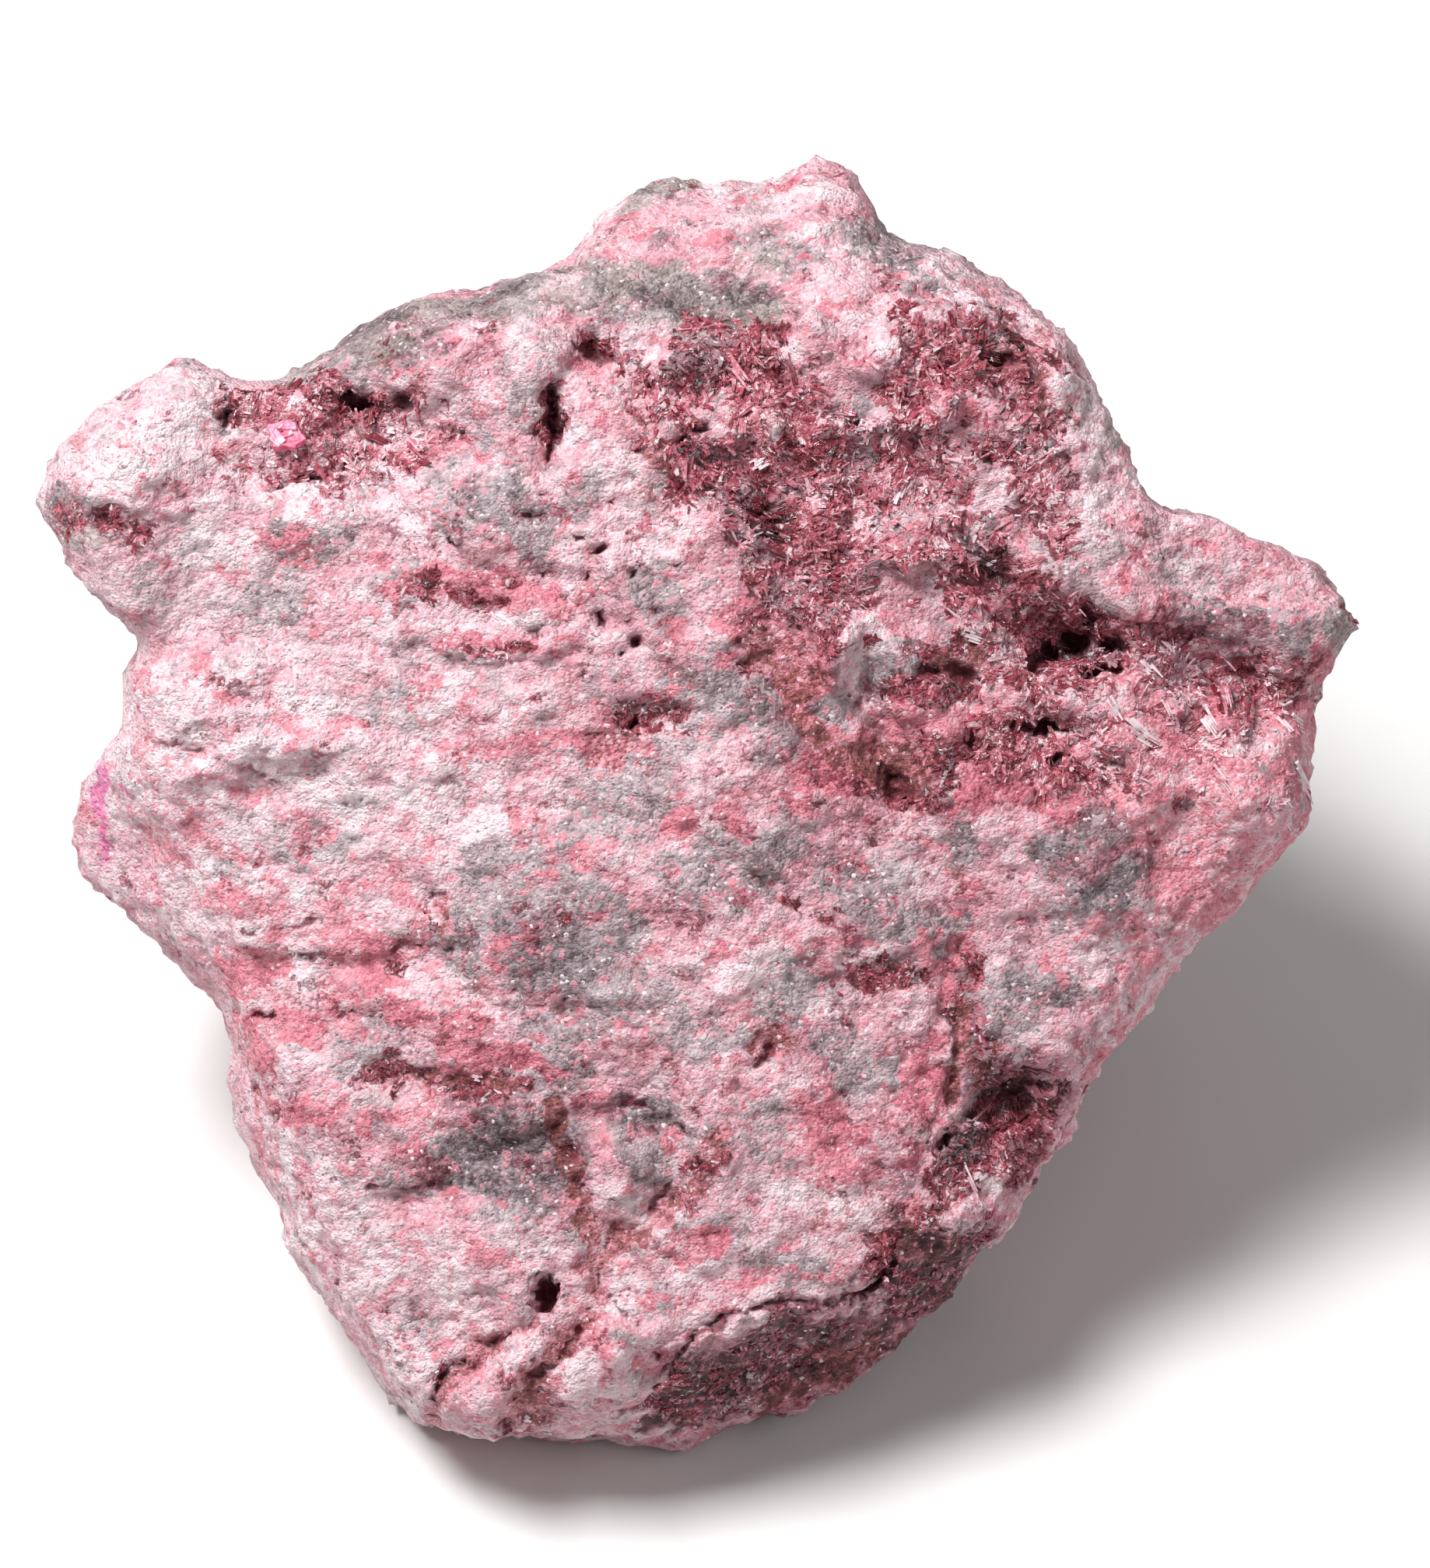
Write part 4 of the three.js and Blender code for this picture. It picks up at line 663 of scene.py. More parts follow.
def rampOf(tree, value, **stops):
    # colours by name, each with its place from 0 to 1
    node = tree.nodes.new("ShaderNodeValToRGB")
    elements = node.color_ramp.elements
    while len(elements) < len(stops):
        elements.new(0.5)
    for element, (name, position) in zip(elements, stops.items()):
        element.position = position
        element.color = colours[name]
    tree.links.new(value, node.inputs["Fac"])
    return node.outputs["Color"]


def attributeOf(tree, name):
    return newNode(tree, "ShaderNodeAttribute", attribute_name=name).outputs["Fac"]


def cellsOf(tree, vector, scale):
    node = newNode(tree, "ShaderNodeTexVoronoi", Scale=scale)
    tree.links.new(vector, node.inputs["Vector"])
    parts = newNode(tree, "ShaderNodeSeparateColor")
    tree.links.new(node.outputs["Color"], parts.inputs["Color"])
    return node.outputs["Distance"], parts.outputs[0], parts.outputs[1], parts.outputs[2]


def addBump(tree, shader, height, strength, distance):
    bump = newNode(tree, "ShaderNodeBump", Strength=strength, Distance=distance * mm)
    tree.links.new(height, bump.inputs["Height"])
    tree.links.new(bump.outputs["Normal"], shader.inputs["Normal"])


def newMaterial(name):
    material = bpy.data.materials.new(name)
    material.use_nodes = True
    tree = material.node_tree
    return material, tree, tree.nodes["Principled BSDF"]


# facets to a mm along, across and out of the face, and their headings in degrees, each with how fine the
# patches are in which it takes over from those before it
facets = {"long": 0.55, "wide": 2.1, "deep": 1.2, "headings": ((25, 0), (-32, 0.31), (74, 0.24))}


def vectorOf(group, operation, first, second):
    node = newNode(group, "ShaderNodeVectorMath", operation=operation)
    for socket, value in zip(node.inputs, (first, second)):
        if isinstance(value, tuple):
            socket.default_value = value
        else:
            group.links.new(value, socket)
    return node.outputs["Value" if operation == "DOT_PRODUCT" else "Vector"]


def makeFacetGroup():
    # long narrow crystal facets: cells drawn out along the face, each one a small plane with its own tilt
    group = bpy.data.node_groups.new("crystalFacets", "ShaderNodeTree")
    for name, kind in (("Place", "Vector"), ("Fineness", "Float")):
        group.interface.new_socket(name, in_out="INPUT", socket_type="NodeSocket" + kind)
    for name in ("Tilt", "Tone", "Glint"):
        group.interface.new_socket(name, in_out="OUTPUT", socket_type="NodeSocketFloat")
    given, result = newNode(group, "NodeGroupInput"), newNode(group, "NodeGroupOutput")
    place = given.outputs["Place"]
    drawn = None
    for heading, patchScale in facets["headings"]:
        turn = math.radians(heading)
        long = faceAxes[0] * math.cos(turn) + faceAxes[1] * math.sin(turn)
        wide = faceAxes[1] * math.cos(turn) - faceAxes[0] * math.sin(turn)
        along = newNode(group, "ShaderNodeCombineXYZ")
        axes = (long * facets["long"], wide * facets["wide"], faceAxes[2] * facets["deep"])
        for axis, socket in zip(axes, along.inputs):
            group.links.new(vectorOf(group, "DOT_PRODUCT", place, tuple(axis)), socket)
        if drawn is None:
            drawn = along.outputs[0]
            continue
        # bundles of one heading meet bundles of the next
        mask = rangeOf(group, noiseOf(group, place, patchScale, 4, 0.6, heading / 40), 0.5, 0.52)
        mix = newNode(group, "ShaderNodeMix", data_type="VECTOR")
        for index, value in ((0, mask), (4, drawn), (5, along.outputs[0])):
            group.links.new(value, mix.inputs[index])
        drawn = mix.outputs[1]
    scaled = newNode(group, "ShaderNodeVectorMath", operation="SCALE")
    group.links.new(drawn, scaled.inputs[0])
    group.links.new(given.outputs["Fineness"], scaled.inputs["Scale"])
    cells = newNode(group, "ShaderNodeTexVoronoi", Scale=1.0)
    group.links.new(scaled.outputs[0], cells.inputs["Vector"])
    offset = vectorOf(group, "SUBTRACT", scaled.outputs[0], cells.outputs["Position"])
    leaning = vectorOf(group, "SUBTRACT", cells.outputs["Color"], (0.5, 0.5, 0.5))
    parts = newNode(group, "ShaderNodeSeparateColor")
    group.links.new(cells.outputs["Color"], parts.inputs["Color"])
    group.links.new(vectorOf(group, "DOT_PRODUCT", offset, leaning), result.inputs["Tilt"])
    group.links.new(parts.outputs[0], result.inputs["Tone"])
    group.links.new(parts.outputs[1], result.inputs["Glint"])
    return group


def facetsOf(tree, place, fineness):
    node = newNode(tree, "ShaderNodeGroup", node_tree=facetGroup)
    tree.links.new(place, node.inputs["Place"])
    node.inputs["Fineness"].default_value = fineness
    return node.outputs["Tilt"], node.outputs["Tone"], node.outputs["Glint"]


# how each ground looks, from the lowest to the one over all the others: how soft its edges are, how well it
# covers, the level that picks its colours, and where each colour is on that level
groundLooks = {
    "white": {"soft": 0.22, "cover": 0.85, "level": "plain",
              "ramp": {"pink": 0.25, "pale": 0.44, "frost": 0.64}},
    "grey": {"soft": 0.28, "cover": 0.85, "level": "stony",
             "ramp": {"slate": 0.31, "ash": 0.43, "cloud": 0.57, "pale": 0.72}},
    "rose": {"soft": 0.16, "cover": 0.9, "level": "plain",
             "ramp": {"wine": 0.20, "rose": 0.37, "coral": 0.56, "pink": 0.73, "frost": 0.88}},
    "sand": {"soft": 0.26, "cover": 0.9, "level": "stony",
             "ramp": {"olive": 0.28, "sand": 0.50, "stone": 0.74}},
    "slate": {"soft": 0.28, "cover": 0.6, "level": "stony",
              "ramp": {"night": 0.30, "slate": 0.42, "ash": 0.58, "cloud": 0.78}},
    "rust": {"soft": 0.20, "cover": 0.92, "level": "rusty",
             "ramp": {"blood": 0.30, "brown": 0.42, "rust": 0.54, "dusk": 0.66, "pink": 0.80}},
    "wine": {"soft": 0.13, "cover": 0.95, "level": "crystal",
             "ramp": {"night": 0.20, "blood": 0.31, "wine": 0.44, "mauve": 0.56, "dusk": 0.68, "pale": 0.84}},
    "shadedUmber": {"soft": 0.40, "cover": 0.94, "level": "dim",
              "ramp": {"night": 0.44, "shadedUmber": 0.53, "peat": 0.64, "wine": 0.74, "dusk": 0.84}},
    "magenta": {"soft": 0.40, "cover": 0.7},
}


def makeRockMaterial():
    material, tree, shader = newMaterial("granularMatrix")
    place = inMillimetres(tree, (0.9, 1, 1))
    grain = noiseOf(tree, place, 1.5, 4.5, 0.74)
    crumb, crumbOne, crumbTwo, crumbThree = cellsOf(tree, place, 1.8)
    speck, speckOne, speckTwo, speckThree = cellsOf(tree, place, 4.0)
    tilt, facetTone, glint = facetsOf(tree, inMillimetres(tree), 1.0)

    # each level is 0.5 on average, and the rusty one 0.6
    tone = sumOf(tree, (attributeOf(tree, "tone"), 0.60), (grain, 0.50), (crumbOne, 0.13), (speckOne, 0.20))
    tone = mathOf(tree, "SUBTRACT", tone, 0.215)
    crystalTone = sumOf(tree, (tone, 0.62), (facetTone, 0.34), (grain, 0.2))
    levels = {
        "plain": tone,
        "stony": sumOf(tree, (tone, 0.45), (grain, 0.25), (speckThree, 0.15), (crumbThree, 0.15)),
        "rusty": sumOf(tree, (tone, 0.6), (facetTone, 0.2), (grain, 0.4)),
        "crystal": mathOf(tree, "SUBTRACT", crystalTone, 0.08),
        "dim": sumOf(tree, (grain, 0.7), (facetTone, 0.3)),
    }
    shown = {"magenta": colours["magenta"]}
    for name, look in groundLooks.items():
        if "ramp" in look:
            shown[name] = rampOf(tree, levels[look["level"]], **look["ramp"])
    stain = noiseOf(tree, place, 0.28, 4, 0.65)
    wine = mixOf(tree, rangeOf(tree, stain, 0.54, 0.66, 0, 0.6), shown["wine"], colours["brown"])
    wine = mixOf(tree, rangeOf(tree, stain, 0.50, 0.38, 0, 0.7), wine, colours["lilac"])
    # painted glints: the crystal facets with the highest glint value turn near white
    shown["wine"] = mixOf(tree, rangeOf(tree, glint, 0.93, 0.97, 0, 0.7), wine, colours["frost"])

    # each ground's level at the points meets the grain, which makes its edges ragged
    edge = sumOf(tree, (grain, 1.3), (crumbTwo, 0.12), (speckTwo, 0.10))
    ragged = mathOf(tree, "SUBTRACT", edge, 0.76)      # 0 on average
    colour = rampOf(tree, tone, dim=0.16, salmon=0.34, pink=0.52, pale=0.70, frost=0.90)
    patches = {}
    for name, look in groundLooks.items():
        level = mathOf(tree, "ADD", attributeOf(tree, name), ragged)
        patches[name] = rangeOf(tree, level, 0.5 - look["soft"], 0.5 + look["soft"], 0, look["cover"])
        colour = mixOf(tree, patches[name], colour, shown[name])

    # stray specks of rose, dark pinpricks, and bright grains that are partly painted sparkle
    stray = sumOf(tree, (crumbThree, 0.5), (grain, 1.0), (patches["sand"], -0.15))
    colour = mixOf(tree, rangeOf(tree, stray, 0.94, 1.04, 0, 0.75), colour, colours["coral"])
    middles = rangeOf(tree, crumb, 0.10, 0.26, 1, 0)
    pinpricks = mathOf(tree, "MULTIPLY", middles, rangeOf(tree, crumbOne, 0.62, 0.74, 0, 0.65))
    colour = mixOf(tree, pinpricks, colour, colours["blood"])
    colour = mixOf(tree, rangeOf(tree, speckThree, 0.972, 0.984, 0, 0.8), colour, colours["frost"])
    # painted shade in the holes and cracks, mixed towards black and wine red; the veins are partly their own
    # dark red
    shadow = rangeOf(tree, sumOf(tree, (attributeOf(tree, "dark"), 1.0), (grain, 0.8)), 0.85, 1.3, 0, 0.8)
    colour = mixOf(tree, shadow, colour, mixOf(tree, speckTwo, colours["night"], colours["wine"]))
    tree.links.new(colour, shader.inputs["Base Color"])

    crystal = patches["wine"]
    stonyRough = rangeOf(tree, speckOne, 0.8, 1.0, 0.8, 0.4)
    crystalRough = rangeOf(tree, glint, 0.3, 0.95, 0.62, 0.16)
    tree.links.new(mixOf(tree, crystal, stonyRough, crystalRough), shader.inputs["Roughness"])
    facetTilt = mathOf(tree, "MULTIPLY", crystal, tilt)
    height = sumOf(tree, (crumb, -0.55), (grain, 1.5), (speck, -0.4), (facetTilt, 1.6))
    addBump(tree, shader, height, 1.0, 0.36)
    shader.inputs["Specular IOR Level"].default_value = 0.45
    return material


facetGroup = makeFacetGroup()
rock.data.materials.clear()
rock.data.materials.append(makeRockMaterial())
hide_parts("matrix")
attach(rock, "root")


def onRock(x, y):
    # the place on the rock that the viewer sees at a pixel
    eye = np.array((0, 0, face["viewDistance"])) @ faceAxes + face["middle"]
    through = np.array((*spot(x, y), 0)) @ faceAxes + face["middle"]
    return np.array(rockTree.ray_cast(Vector(eye * mm), Vector(through - eye).normalized())[0])


# blades of roselite: sprays grow out of the rock, each blade a flat lath with a narrow tip. Length, width
# and thick are in mm, lift and spread in degrees, slender and large are shares of the blades
usualBlades = {"blades": 5, "length": (0.25, 0.75), "width": (0.16, 0.4), "lift": (-13, 7),
               "slender": 0.08, "large": 0.07, "thick": 0.13}
plainBlades = {**usualBlades, "slender": 0, "large": 0, "thick": 0.12}
bladeSets = {
    "fieldBlades": {**usualBlades, "node": "field_crystals", "sprays": 3200, "lift": (-13, 6),
                    "spread": 36, "tone": 0.52, "seed": 4},
    "flankBlades": {**usualBlades, "node": "flank_crystals", "sprays": 1900,
                    "spread": 40, "tone": 0.60, "seed": 5},
    "pocketBlades": {**usualBlades, "node": "pocket_crystals", "sprays": 1100, "slender": 0.05,
                     "spread": 50, "tone": 0.60, "seed": 6},
    "cavityBlades": {**plainBlades, "node": "cavity_crystals", "sprays": 360, "blades": 6,
                     "length": (0.35, 1.0), "lift": (-10, 6), "spread": 16, "tone": 0.40, "seed": 7},
    "looseBlades": {**plainBlades, "node": None, "sprays": 1700, "length": (0.2, 0.65),
                    "width": (0.14, 0.36), "lift": (-14, 8), "spread": 60, "tone": 0.39, "seed": 8},
}

# how all of them grow. Headings in radians wind over so many mm and jump from spray to spray, roots lie along
# the heading in shares of the length, and the rest are factors on a blade's own sizes
growth = {
    "winding": 4.5, "windSize": 10.0, "windStart": -0.4, "jump": 0.4, "rootAlong": (-0.1, 0.7), "roll": 0.36,
    "larger": 2.0, "slimmer": 0.7, "widest": 0.75, "thicker": (0.7, 1.4), "rootDeep": 0.2, "raised": 0.1,
}

# how light they are: what the place, chance, the spots and size change, and the few bright ones
bladeTone = {"mottle": 0.34, "chance": 0.1, "darkSpots": -0.26, "paleSpots": 0.14, "large": -0.12,
             "bright": 0.3, "dullShare": 0.96}

# ovals among the crystals where the rock shows bare, and where the crystals are dark or pale
bareSpots = [
    (1070, 425, 44, 62, -10), (1095, 528, 20, 18), (1285, 640, 30, 30), (1345, 735, 26, 26),
    (1100, 840, 50, 46),
]
darkSpots = [
    (900, 480, 60, 34), (1285, 470, 60, 34), (985, 665, 70, 26, 25), (1376, 835, 60, 30),
    (1100, 590, 60, 16), (1230, 870, 40, 26), (1260, 735, 44, 16, 40), (465, 530, 34, 14),
    (1210, 1455, 50, 30), (1300, 1400, 50, 30), (300, 550, 20, 30), (1330, 935, 60, 12),
    (880, 580, 40, 16, 20), (1000, 440, 20, 20),
]
paleSpots = [
    (1155, 540, 10, 34, 20), (1165, 620, 10, 34, 20), (975, 595, 12, 10), (1130, 530, 40, 50),
    (950, 550, 50, 30), (1200, 600, 60, 60), (1180, 700, 80, 60), (1450, 930, 80, 50), (1530, 960, 90, 40),
    (1640, 1000, 50, 60), (1250, 830, 20, 16), (1000, 760, 60, 40), (340, 590, 30, 30), (1060, 660, 60, 40),
    (1340, 560, 14, 120, -8), (410, 600, 60, 24), (520, 570, 40, 30),
]


def bladeShape():
    # one blade, 1 long, 1 wide and 1 thick, standing on its root
    bpy.ops.object.select_all(action="DESELECT")
    bpy.ops.mesh.primitive_cube_add(size=1, location=(0, 0, 0.5))
    blade = bpy.context.object
    bpy.ops.object.mode_set(mode="EDIT")
    bpy.ops.mesh.select_all(action="SELECT")
    bpy.ops.mesh.select_mode(type="VERT")
    bpy.ops.mesh.select_all(action="DESELECT")
    bpy.ops.object.mode_set(mode="OBJECT")
    bpy.ops.object.transform_apply(location=True, rotation=True, scale=True)
    for point in blade.data.vertices:
        point.select = point.co.z > 0.9
    bpy.ops.object.mode_set(mode="EDIT")
    bpy.ops.transform.resize(value=(0.4, 0.7, 1), center_override=(0.15, 0, 1))
    bpy.ops.object.mode_set(mode="OBJECT")
    points = np.array([point.co for point in blade.data.vertices])
    faces = np.array([list(polygon.vertices) for polygon in blade.data.polygons])
    bpy.data.objects.remove(blade)
    return points, faces


def turned(first, second, angle):
    return first * np.cos(angle)[:, None] + second * np.sin(angle)[:, None]


def unit(rows):
    return rows / np.linalg.norm(rows, axis=1)[:, None]


def crystalPiece(name, node, points, corners, **attributes):
    mesh = bpy.data.meshes.new(name)
    mesh.from_pydata(points, [], corners)
    piece = bpy.data.objects.new(name, mesh)
    bpy.context.collection.objects.link(piece)
    for attribute, values in attributes.items():
        setAttribute(piece, attribute, values)
    piece.data.materials.append(bladeMaterial)
    if node:
        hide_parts(node)
    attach(piece, "root")


def layBlades(dice, values, weight):
    # roots of the blades, the three directions of each with its size along them, and which ones are large
    points, outward = readPoints(rock), readPoints(rock, "normal")
    count = values["sprays"] * values["blades"]
    middles = np.repeat(dice.choice(len(points), values["sprays"], p=weight / weight.sum()), values["blades"])
    slender = dice.random(count) < values["slender"]
    large = dice.random(count) < values["large"]
    length = dice.uniform(*values["length"], count) * np.where(slender | large, growth["larger"], 1) * mm
    # headings follow each other over a few millimetres, and fan out inside a spray
    heading = np.repeat(dice.normal(0, growth["jump"], values["sprays"]), values["blades"])
    fan = dice.normal(0, math.radians(values["spread"]), count)
    wind = growth["winding"] * clouds(toFace(points[middles]), growth["windSize"], 1)
    heading += wind + growth["windStart"] + fan
    up = outward[middles]
    across = unit(faceAxes[0] - up * (up @ faceAxes[0])[:, None])
    ahead = turned(across, np.cross(up, across), heading)
    root = points[middles] + ahead * (dice.uniform(*growth["rootAlong"], count) * length)[:, None]
    for i, place in enumerate(root):
        root[i], up[i] = rockTree.find_nearest(Vector(place))[:2]
    ahead = unit(ahead - up * np.sum(ahead * up, axis=1)[:, None])
    along = turned(ahead, up, np.radians(dice.uniform(*values["lift"], count)))
    side = np.cross(up, ahead)
    side = turned(side, np.cross(along, side), dice.normal(0, growth["roll"], count))
    flat = np.cross(along, side)
    width = dice.uniform(*values["width"], count) * np.where(slender, growth["slimmer"], 1)
    width = np.minimum(width * np.where(large, growth["larger"], 1) * mm, length * growth["widest"])
    thick = values["thick"] * dice.uniform(*growth["thicker"], count) * mm
    root = root - along * (length * growth["rootDeep"])[:, None] + up * (thick * growth["raised"])[:, None]
    return root, ((side, width), (flat, thick), (along, length)), large


def growBlades(name, values, weight):
    dice = np.random.default_rng(values["seed"])
    root, sizes, large = layBlades(dice, values, weight)
    count = len(root)
    shape, faces = bladeShape()
    places = root[:, None]
    for axis, (direction, size) in enumerate(sizes):
        places = places + shape[None, :, axis, None] * (direction * size[:, None])[:, None]
    places = places.reshape(-1, 3)
    places[:, 2] = np.maximum(places[:, 2], 0)
    corners = (faces[None] + np.arange(count)[:, None, None] * len(shape)).reshape(-1, 4)

    a, b = toFace(root).T[:2]
    mottle = even(clouds(toFace(root), 2.6, 4, 0.4, 9.9)) - 0.5
    tone = values["tone"] + bladeTone["mottle"] * mottle + dice.normal(0, bladeTone["chance"], count)
    tone += bladeTone["darkSpots"] * coverOf(a, b, darkSpots, "spot")
    tone += bladeTone["paleSpots"] * coverOf(a, b, paleSpots, "spot")
    tone[large] += bladeTone["large"]
    tone[dice.random(count) > bladeTone["dullShare"]] += bladeTone["bright"]
    polish = dice.random(count) ** 2
    hue = dice.random(count)
    each = {"tone": np.clip(tone, 0, 1), "polish": polish, "hue": hue}
    crystalPiece(
        name, values["node"], places.tolist(), corners.tolist(),
        along=np.tile(shape[:, 2], count), across=np.tile(shape[:, 0], count),
        **{attribute: np.repeat(level, len(shape)) for attribute, level in each.items()})
    print(name, count, "blades")


def makeBladeMaterial():
    material, tree, shader = newMaterial("roseliteBlades")
    place = inMillimetres(tree)
    cloudy = noiseOf(tree, place, 2.2, 2, 0.6)
    tilt, facetTone, glint = facetsOf(tree, place, 1.5)
    streak = mathOf(tree, "SINE", sumOf(tree, (attributeOf(tree, "across"), 26.0), (cloudy, 9.0)))
    tone = sumOf(tree, (attributeOf(tree, "tone"), 1.0), (cloudy, 0.5), (streak, 0.04),
                 (attributeOf(tree, "along"), 0.08), (facetTone, 0.14))
    colour = rampOf(tree, mathOf(tree, "SUBTRACT", tone, 0.36),
                    night=0.02, blood=0.16, wine=0.32, mauve=0.50, dusk=0.66, pale=0.82, frost=0.96)
    stain = noiseOf(tree, place, 0.28, 4, 0.65)
    hue = sumOf(tree, (attributeOf(tree, "hue"), 0.22), (stain, 1.0))     # 0.61 on average
    colour = mixOf(tree, rangeOf(tree, hue, 0.68, 0.80, 0, 0.45), colour, colours["brown"])
    colour = mixOf(tree, rangeOf(tree, hue, 0.57, 0.44, 0, 0.6), colour, colours["lilac"])
    # painted glints: the blade facets with the highest glint value turn near white
    colour = mixOf(tree, rangeOf(tree, glint, 0.94, 0.98, 0, 0.7), colour, colours["frost"])
    tree.links.new(colour, shader.inputs["Base Color"])
    tree.links.new(rangeOf(tree, attributeOf(tree, "polish"), 0.0, 1.0, 0.6, 0.1), shader.inputs["Roughness"])
    addBump(tree, shader, sumOf(tree, (streak, 1.0), (tilt, 1.5)), 0.5, 0.06)
    shader.inputs["IOR"].default_value = 1.6
    return material


# single crystals that stand out: x, y of the two ends, width in pixels, and tone from 0, black, to 1, white
# painted highlights: those of tone 1.0, and the near-white ones on the right near (1460, 940) and (1620,
# 990), are bright chips set where light glints
markedCrystals = [
    (1141, 570, 1156, 516, 13, 0.95), (1145, 651, 1168, 602, 15, 0.86), (967, 600, 984, 592, 15, 0.95),
    (912, 630, 984, 663, 13, 0.1), (941, 662, 1014, 695, 13, 0.12), (955, 690, 1010, 716, 9, 0.2),
    (1218, 735, 1277, 757, 11, 0.22), (1243, 710, 1302, 737, 13, 0.06), (1247, 744, 1276, 790, 11, 0.42),
    (1063, 680, 1062, 752, 7, 0.36), (933, 457, 962, 496, 11, 0.6), (1240, 812, 1262, 822, 17, 1.0),
    (1466, 852, 1484, 872, 19, 1.0), (1533, 859, 1544, 868, 9, 1.0), (1446, 925, 1472, 950, 18, 0.95),
    (1458, 940, 1486, 958, 14, 0.9), (1588, 964, 1656, 1048, 22, 0.92), (1662, 984, 1682, 1024, 15, 0.92),
    (1640, 930, 1662, 954, 22, 0.86), (880, 470, 896, 512, 11, 0.24), (860, 520, 905, 545, 9, 0.3),
    (1010, 448, 1022, 500, 9, 0.3), (1262, 455, 1300, 466, 12, 0.1), (1255, 480, 1290, 492, 12, 0.12),
    (1205, 468, 1222, 500, 9, 0.4), (1345, 860, 1390, 870, 9, 0.3), (1365, 880, 1415, 886, 8, 0.34),
    (1190, 546, 1200, 553, 8, 1.0), (1306, 576, 1314, 584, 8, 1.0), (608, 1383, 619, 1388, 9, 1.0),
    (960, 1766, 971, 1770, 9, 1.0), (671, 1821, 680, 1825, 8, 1.0), (1254, 1514, 1272, 1506, 11, 1.0),
    (1250, 1440, 1292, 1398, 7, 0.12), (1262, 1462, 1322, 1430, 6, 0.14), (1262, 1486, 1342, 1478, 5, 0.3),
    (1240, 1500, 1262, 1548, 5, 0.8), (440, 565, 462, 598, 10, 0.46), (470, 556, 502, 572, 10, 0.3),
    (400, 590, 420, 622, 9, 0.5), (520, 560, 548, 590, 10, 0.5), (498, 552, 514, 557, 8, 1.0),
    (402, 516, 414, 524, 8, 0.95), (372, 622, 404, 612, 8, 0.7), (1560, 876, 1574, 942, 8, 0.22),
    (1606, 882, 1600, 940, 8, 0.3), (1545, 915, 1566, 948, 16, 0.85), (1575, 885, 1584, 925, 12, 0.6),
    (1618, 985, 1660, 1060, 14, 0.8), (1500, 900, 1512, 930, 12, 0.8), (1425, 900, 1440, 925, 12, 0.85),
    (1560, 990, 1590, 1030, 12, 0.75), (1655, 920, 1676, 936, 14, 0.8),
]

# each is a bundle of blades: where they start and how far they reach in shares of its length, their tilt in
# radians, how high they lie and how thick they are in mm, their width in shares of a strand, and their looks
bundle = {
    "strandPixels": 3.2, "start": (-0.15, 0.4), "reach": (0.5, 0.85), "tilt": 0.25, "raised": 0.15,
    "thick": (0.2, 0.3), "wide": (1.1, 1.7),
    "tone": 0.09, "polish": (0.4, 0.9), "hue": (0.4, 0.6), "seed": 12,
}


def makeMarkedCrystals():
    dice = np.random.default_rng(bundle["seed"])
    shape, faces = bladeShape()
    points, corners, tones, polishes, hues = [], [], [], [], []
    for x0, y0, x1, y1, pixelWidth, tone in markedCrystals:
        width = pixelWidth / face["pixels"]
        strands = max(2, round(pixelWidth / bundle["strandPixels"]))
        start = onRock(x0, y0)
        along = onRock(x1, y1) - start
        side = np.cross(faceAxes[2], along)
        side = side / np.linalg.norm(side)
        flat = np.cross(along, side) / np.linalg.norm(along)
        for strand in range(strands):
            shift = ((strand + 0.5) / strands - 0.5) * width
            begin, reach = dice.uniform(*bundle["start"]), dice.uniform(*bundle["reach"])
            tilt = dice.normal(0, bundle["tilt"])
            edge = side * math.cos(tilt) - flat * math.sin(tilt)
            root = start + along * begin + (side * shift + flat * bundle["raised"]) * mm
            wide = width / strands * dice.uniform(*bundle["wide"]) * mm
            thick = dice.uniform(*bundle["thick"]) * mm
            corners += (faces + len(points)).tolist()
            for across, deep, up in shape:
                points.append(root + edge * across * wide - flat * deep * thick + along * up * reach)
            tones += [tone + dice.normal(0, bundle["tone"])] * len(shape)
            polishes += [dice.uniform(*bundle["polish"])] * len(shape)
            hues += [dice.uniform(*bundle["hue"])] * len(shape)
    blades = len(points) // len(shape)
    crystalPiece(
        "markedCrystals", None, [tuple(point) for point in points], corners,
        along=np.tile(shape[:, 2], blades), across=np.tile(shape[:, 0], blades),
        tone=np.clip(tones, 0, 1), polish=polishes, hue=hues)
    print("markedCrystals", blades, "blades")


def makeCleavageMaterial():
    material, tree, shader = newMaterial("pinkCleavage")
    place = inMillimetres(tree)
    cloudy = noiseOf(tree, place, 1.1, 4, 0.6)
    tilt, tone, glint = facetsOf(tree, place, 0.9)
    tone = sumOf(tree, (cloudy, 0.75), (tone, 0.25))
    colour = rampOf(tree, tone, cerise=0.32, candy=0.48, blush=0.62, milk=0.76)
    tree.links.new(colour, shader.inputs["Base Color"])
    tree.links.new(rangeOf(tree, glint, 0.0, 1.0, 0.5, 0.22), shader.inputs["Roughness"])
    addBump(tree, shader, sumOf(tree, (tilt, 1.0), (cloudy, 0.6)), 0.3, 0.08)
    shader.inputs["IOR"].default_value = 1.7
    return material


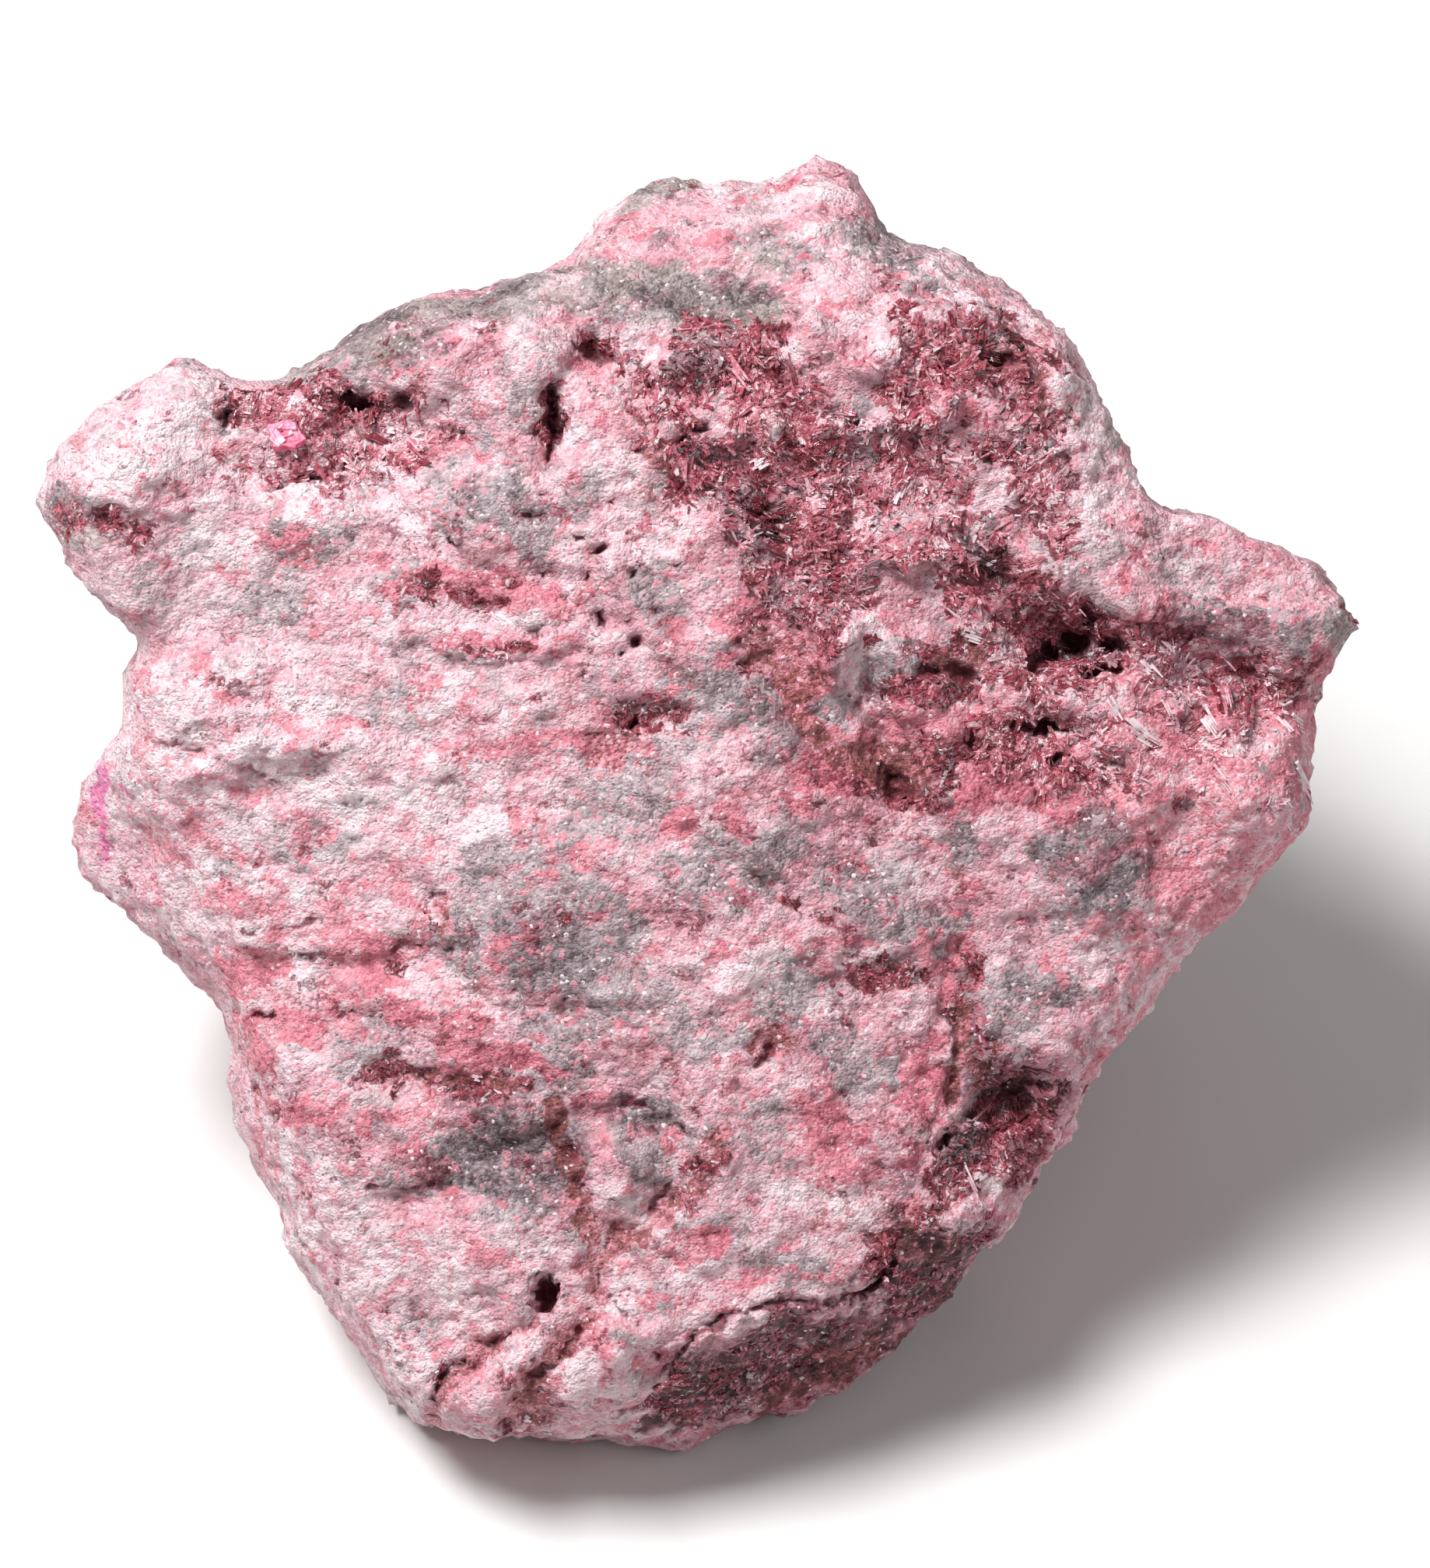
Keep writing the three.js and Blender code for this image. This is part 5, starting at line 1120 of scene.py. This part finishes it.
# the bright pink cleaved crystal: its pixel in the view, its turn and tips in degrees, how deep it is sunk in
# mm, its bevel in mm, and its slabs: middle and size in mm and turn of each, the lowest first
cleavage = {
    "at": (366, 560), "turn": 12, "tipUp": -26, "tipSide": 8, "sunk": 0.15, "bevel": 0.07,
    "slabs": [
        ((0, 0, 0), (2.3, 2.1, 0.9), 0), ((-0.3, 0.2, 0.42), (1.6, 1.5, 0.4), 14),
        ((0.5, 0.5, 0.5), (1.1, 0.9, 0.5), -9), ((-0.7, -0.5, 0.36), (0.9, 1.1, 0.5), 31),
        ((0.9, -0.5, 0.1), (0.9, 1.2, 0.7), 22), ((0.1, -0.9, 0.1), (1.3, 0.7, 0.7), -26),
    ],
}


def makeCleavage():
    slabs = []
    for middle, size, turn in cleavage["slabs"]:
        bpy.ops.object.select_all(action="DESELECT")
        place = [v * mm for v in middle]
        bpy.ops.mesh.primitive_cube_add(size=1, location=place, rotation=(0, 0, math.radians(turn)))
        slab = bpy.context.object
        slab.scale = [v * mm for v in size]
        bpy.ops.object.transform_apply(location=True, rotation=True, scale=True)
        applyModifier(slab, "BEVEL", width=cleavage["bevel"] * mm, segments=2)
        slabs.append(slab)
    only(*slabs)
    bpy.ops.object.join()
    piece = bpy.context.object
    piece.name = "pinkCleavage"
    ground = onRock(*cleavage["at"])
    spin = Euler([math.radians(cleavage[name]) for name in ("tipUp", "tipSide", "turn")]).to_matrix()
    places = readPoints(piece) @ np.array(spin).T @ faceAxes + ground
    movePoints(piece, places - faceAxes[2] * cleavage["sunk"] * mm)
    piece.data.materials.append(makeCleavageMaterial())
    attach(piece, "root")


def nearCrust(points, front, node):
    # 1 at the points of the rock's front that lie over a crust of the solids, 0 elsewhere
    margin, reach = 1.5 * mm, 1.4 * mm
    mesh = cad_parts[node].data
    tree = BVHTree.FromPolygons([v.co for v in mesh.vertices], [list(p.vertices) for p in mesh.polygons])
    low, high = (np.array(corner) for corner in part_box(node))
    inBox = np.all((points > low - margin) & (points < high + margin), axis=1)
    near = np.zeros(len(points))
    for i in np.flatnonzero(inBox & (front > 0)):
        near[i] = tree.find_nearest(Vector(points[i]), reach)[0] is not None
    return near


def growCrusts():
    points = readPoints(rock)
    a, b = toFace(points).T[:2]
    front = step(0.25, 0.55, readPoints(rock, "normal") @ faceAxes[2])
    bare = coverOf(a, b, bareSpots, "bare")
    taken = np.zeros(len(points))
    for name, values in bladeSets.items():
        if values["node"]:
            near = nearCrust(points, front, values["node"])
            taken = np.maximum(taken, near)
            weight = near * front * (1 - bare)
            weight *= np.maximum(rockMasks["wine"] - 0.25, 0) * (rockMasks["dark"] < 0.7)
        else:
            weight = (rockMasks["wine"] > 0.6) * front * (1 - taken)
        growBlades(name, values, weight)


print("crystals")
bladeMaterial = makeBladeMaterial()
rockTree = BVHTree.FromObject(rock, bpy.context.evaluated_depsgraph_get())
makeCleavage()
makeMarkedCrystals()
growCrusts()


studio = {
    "floorSize": 6.0, "sky": 0.18,
    "sensor": 36, "clipStart": 0.01,      # mm and m
    # power in W and size in m of each light, and its place in mm from the face's middle, along faceAxes
    "lights": {
        "keyLight": (7.4, 0.26, (-270, 430, 470)),
        "fillLight": (0.85, 0.5, (500, 60, 420)),
        "rimLight": (0.3, 0.4, (-200, 500, -60)),
    },
}


def addStudio():
    bpy.ops.object.select_all(action="DESELECT")
    bpy.ops.mesh.primitive_plane_add(size=studio["floorSize"], location=(0, 0, 0))
    floor = bpy.context.object
    floor.name = "studioFloor"
    material, tree, shader = newMaterial("paleFloor")
    cloudy = noiseOf(tree, inMillimetres(tree), 0.02, 2)
    tree.links.new(rampOf(tree, cloudy, floorDim=0.3, floorPale=0.7), shader.inputs["Base Color"])
    shader.inputs["Roughness"].default_value = 0.7
    floor.data.materials.append(material)
    middle = Vector(face["middle"]) * mm
    for name, (power, size, away) in studio["lights"].items():
        place = middle + Vector(np.array(away) @ faceAxes) * mm
        bpy.ops.object.light_add(type="AREA", location=place)
        lamp = bpy.context.object
        lamp.name = name
        lamp.data.energy = power
        lamp.data.size = size
        lamp.rotation_euler = (middle - place).to_track_quat("-Z", "Y").to_euler()
    world = bpy.context.scene.world or bpy.data.worlds.new("studio")
    bpy.context.scene.world = world
    world.use_nodes = True
    sky = world.node_tree.nodes["Background"]
    sky.inputs["Color"].default_value = (1, 1, 1, 1)
    sky.inputs["Strength"].default_value = studio["sky"]
    bpy.context.scene.view_settings.view_transform = "Standard"


def addCamera():
    middle = Vector(face["middle"]) * mm
    place = middle + Vector(faceAxes[2]) * face["viewDistance"] * mm
    bpy.ops.object.camera_add(location=place, rotation=(middle - place).to_track_quat("-Z", "Y").to_euler())
    camera = bpy.context.object
    camera.data.sensor_fit = "VERTICAL"
    camera.data.sensor_height = studio["sensor"]
    camera.data.lens = studio["sensor"] * face["viewDistance"] / face["viewHeight"]
    camera.data.clip_start = studio["clipStart"]
    bpy.context.scene.camera = camera


print("studio")
addStudio()
addCamera()
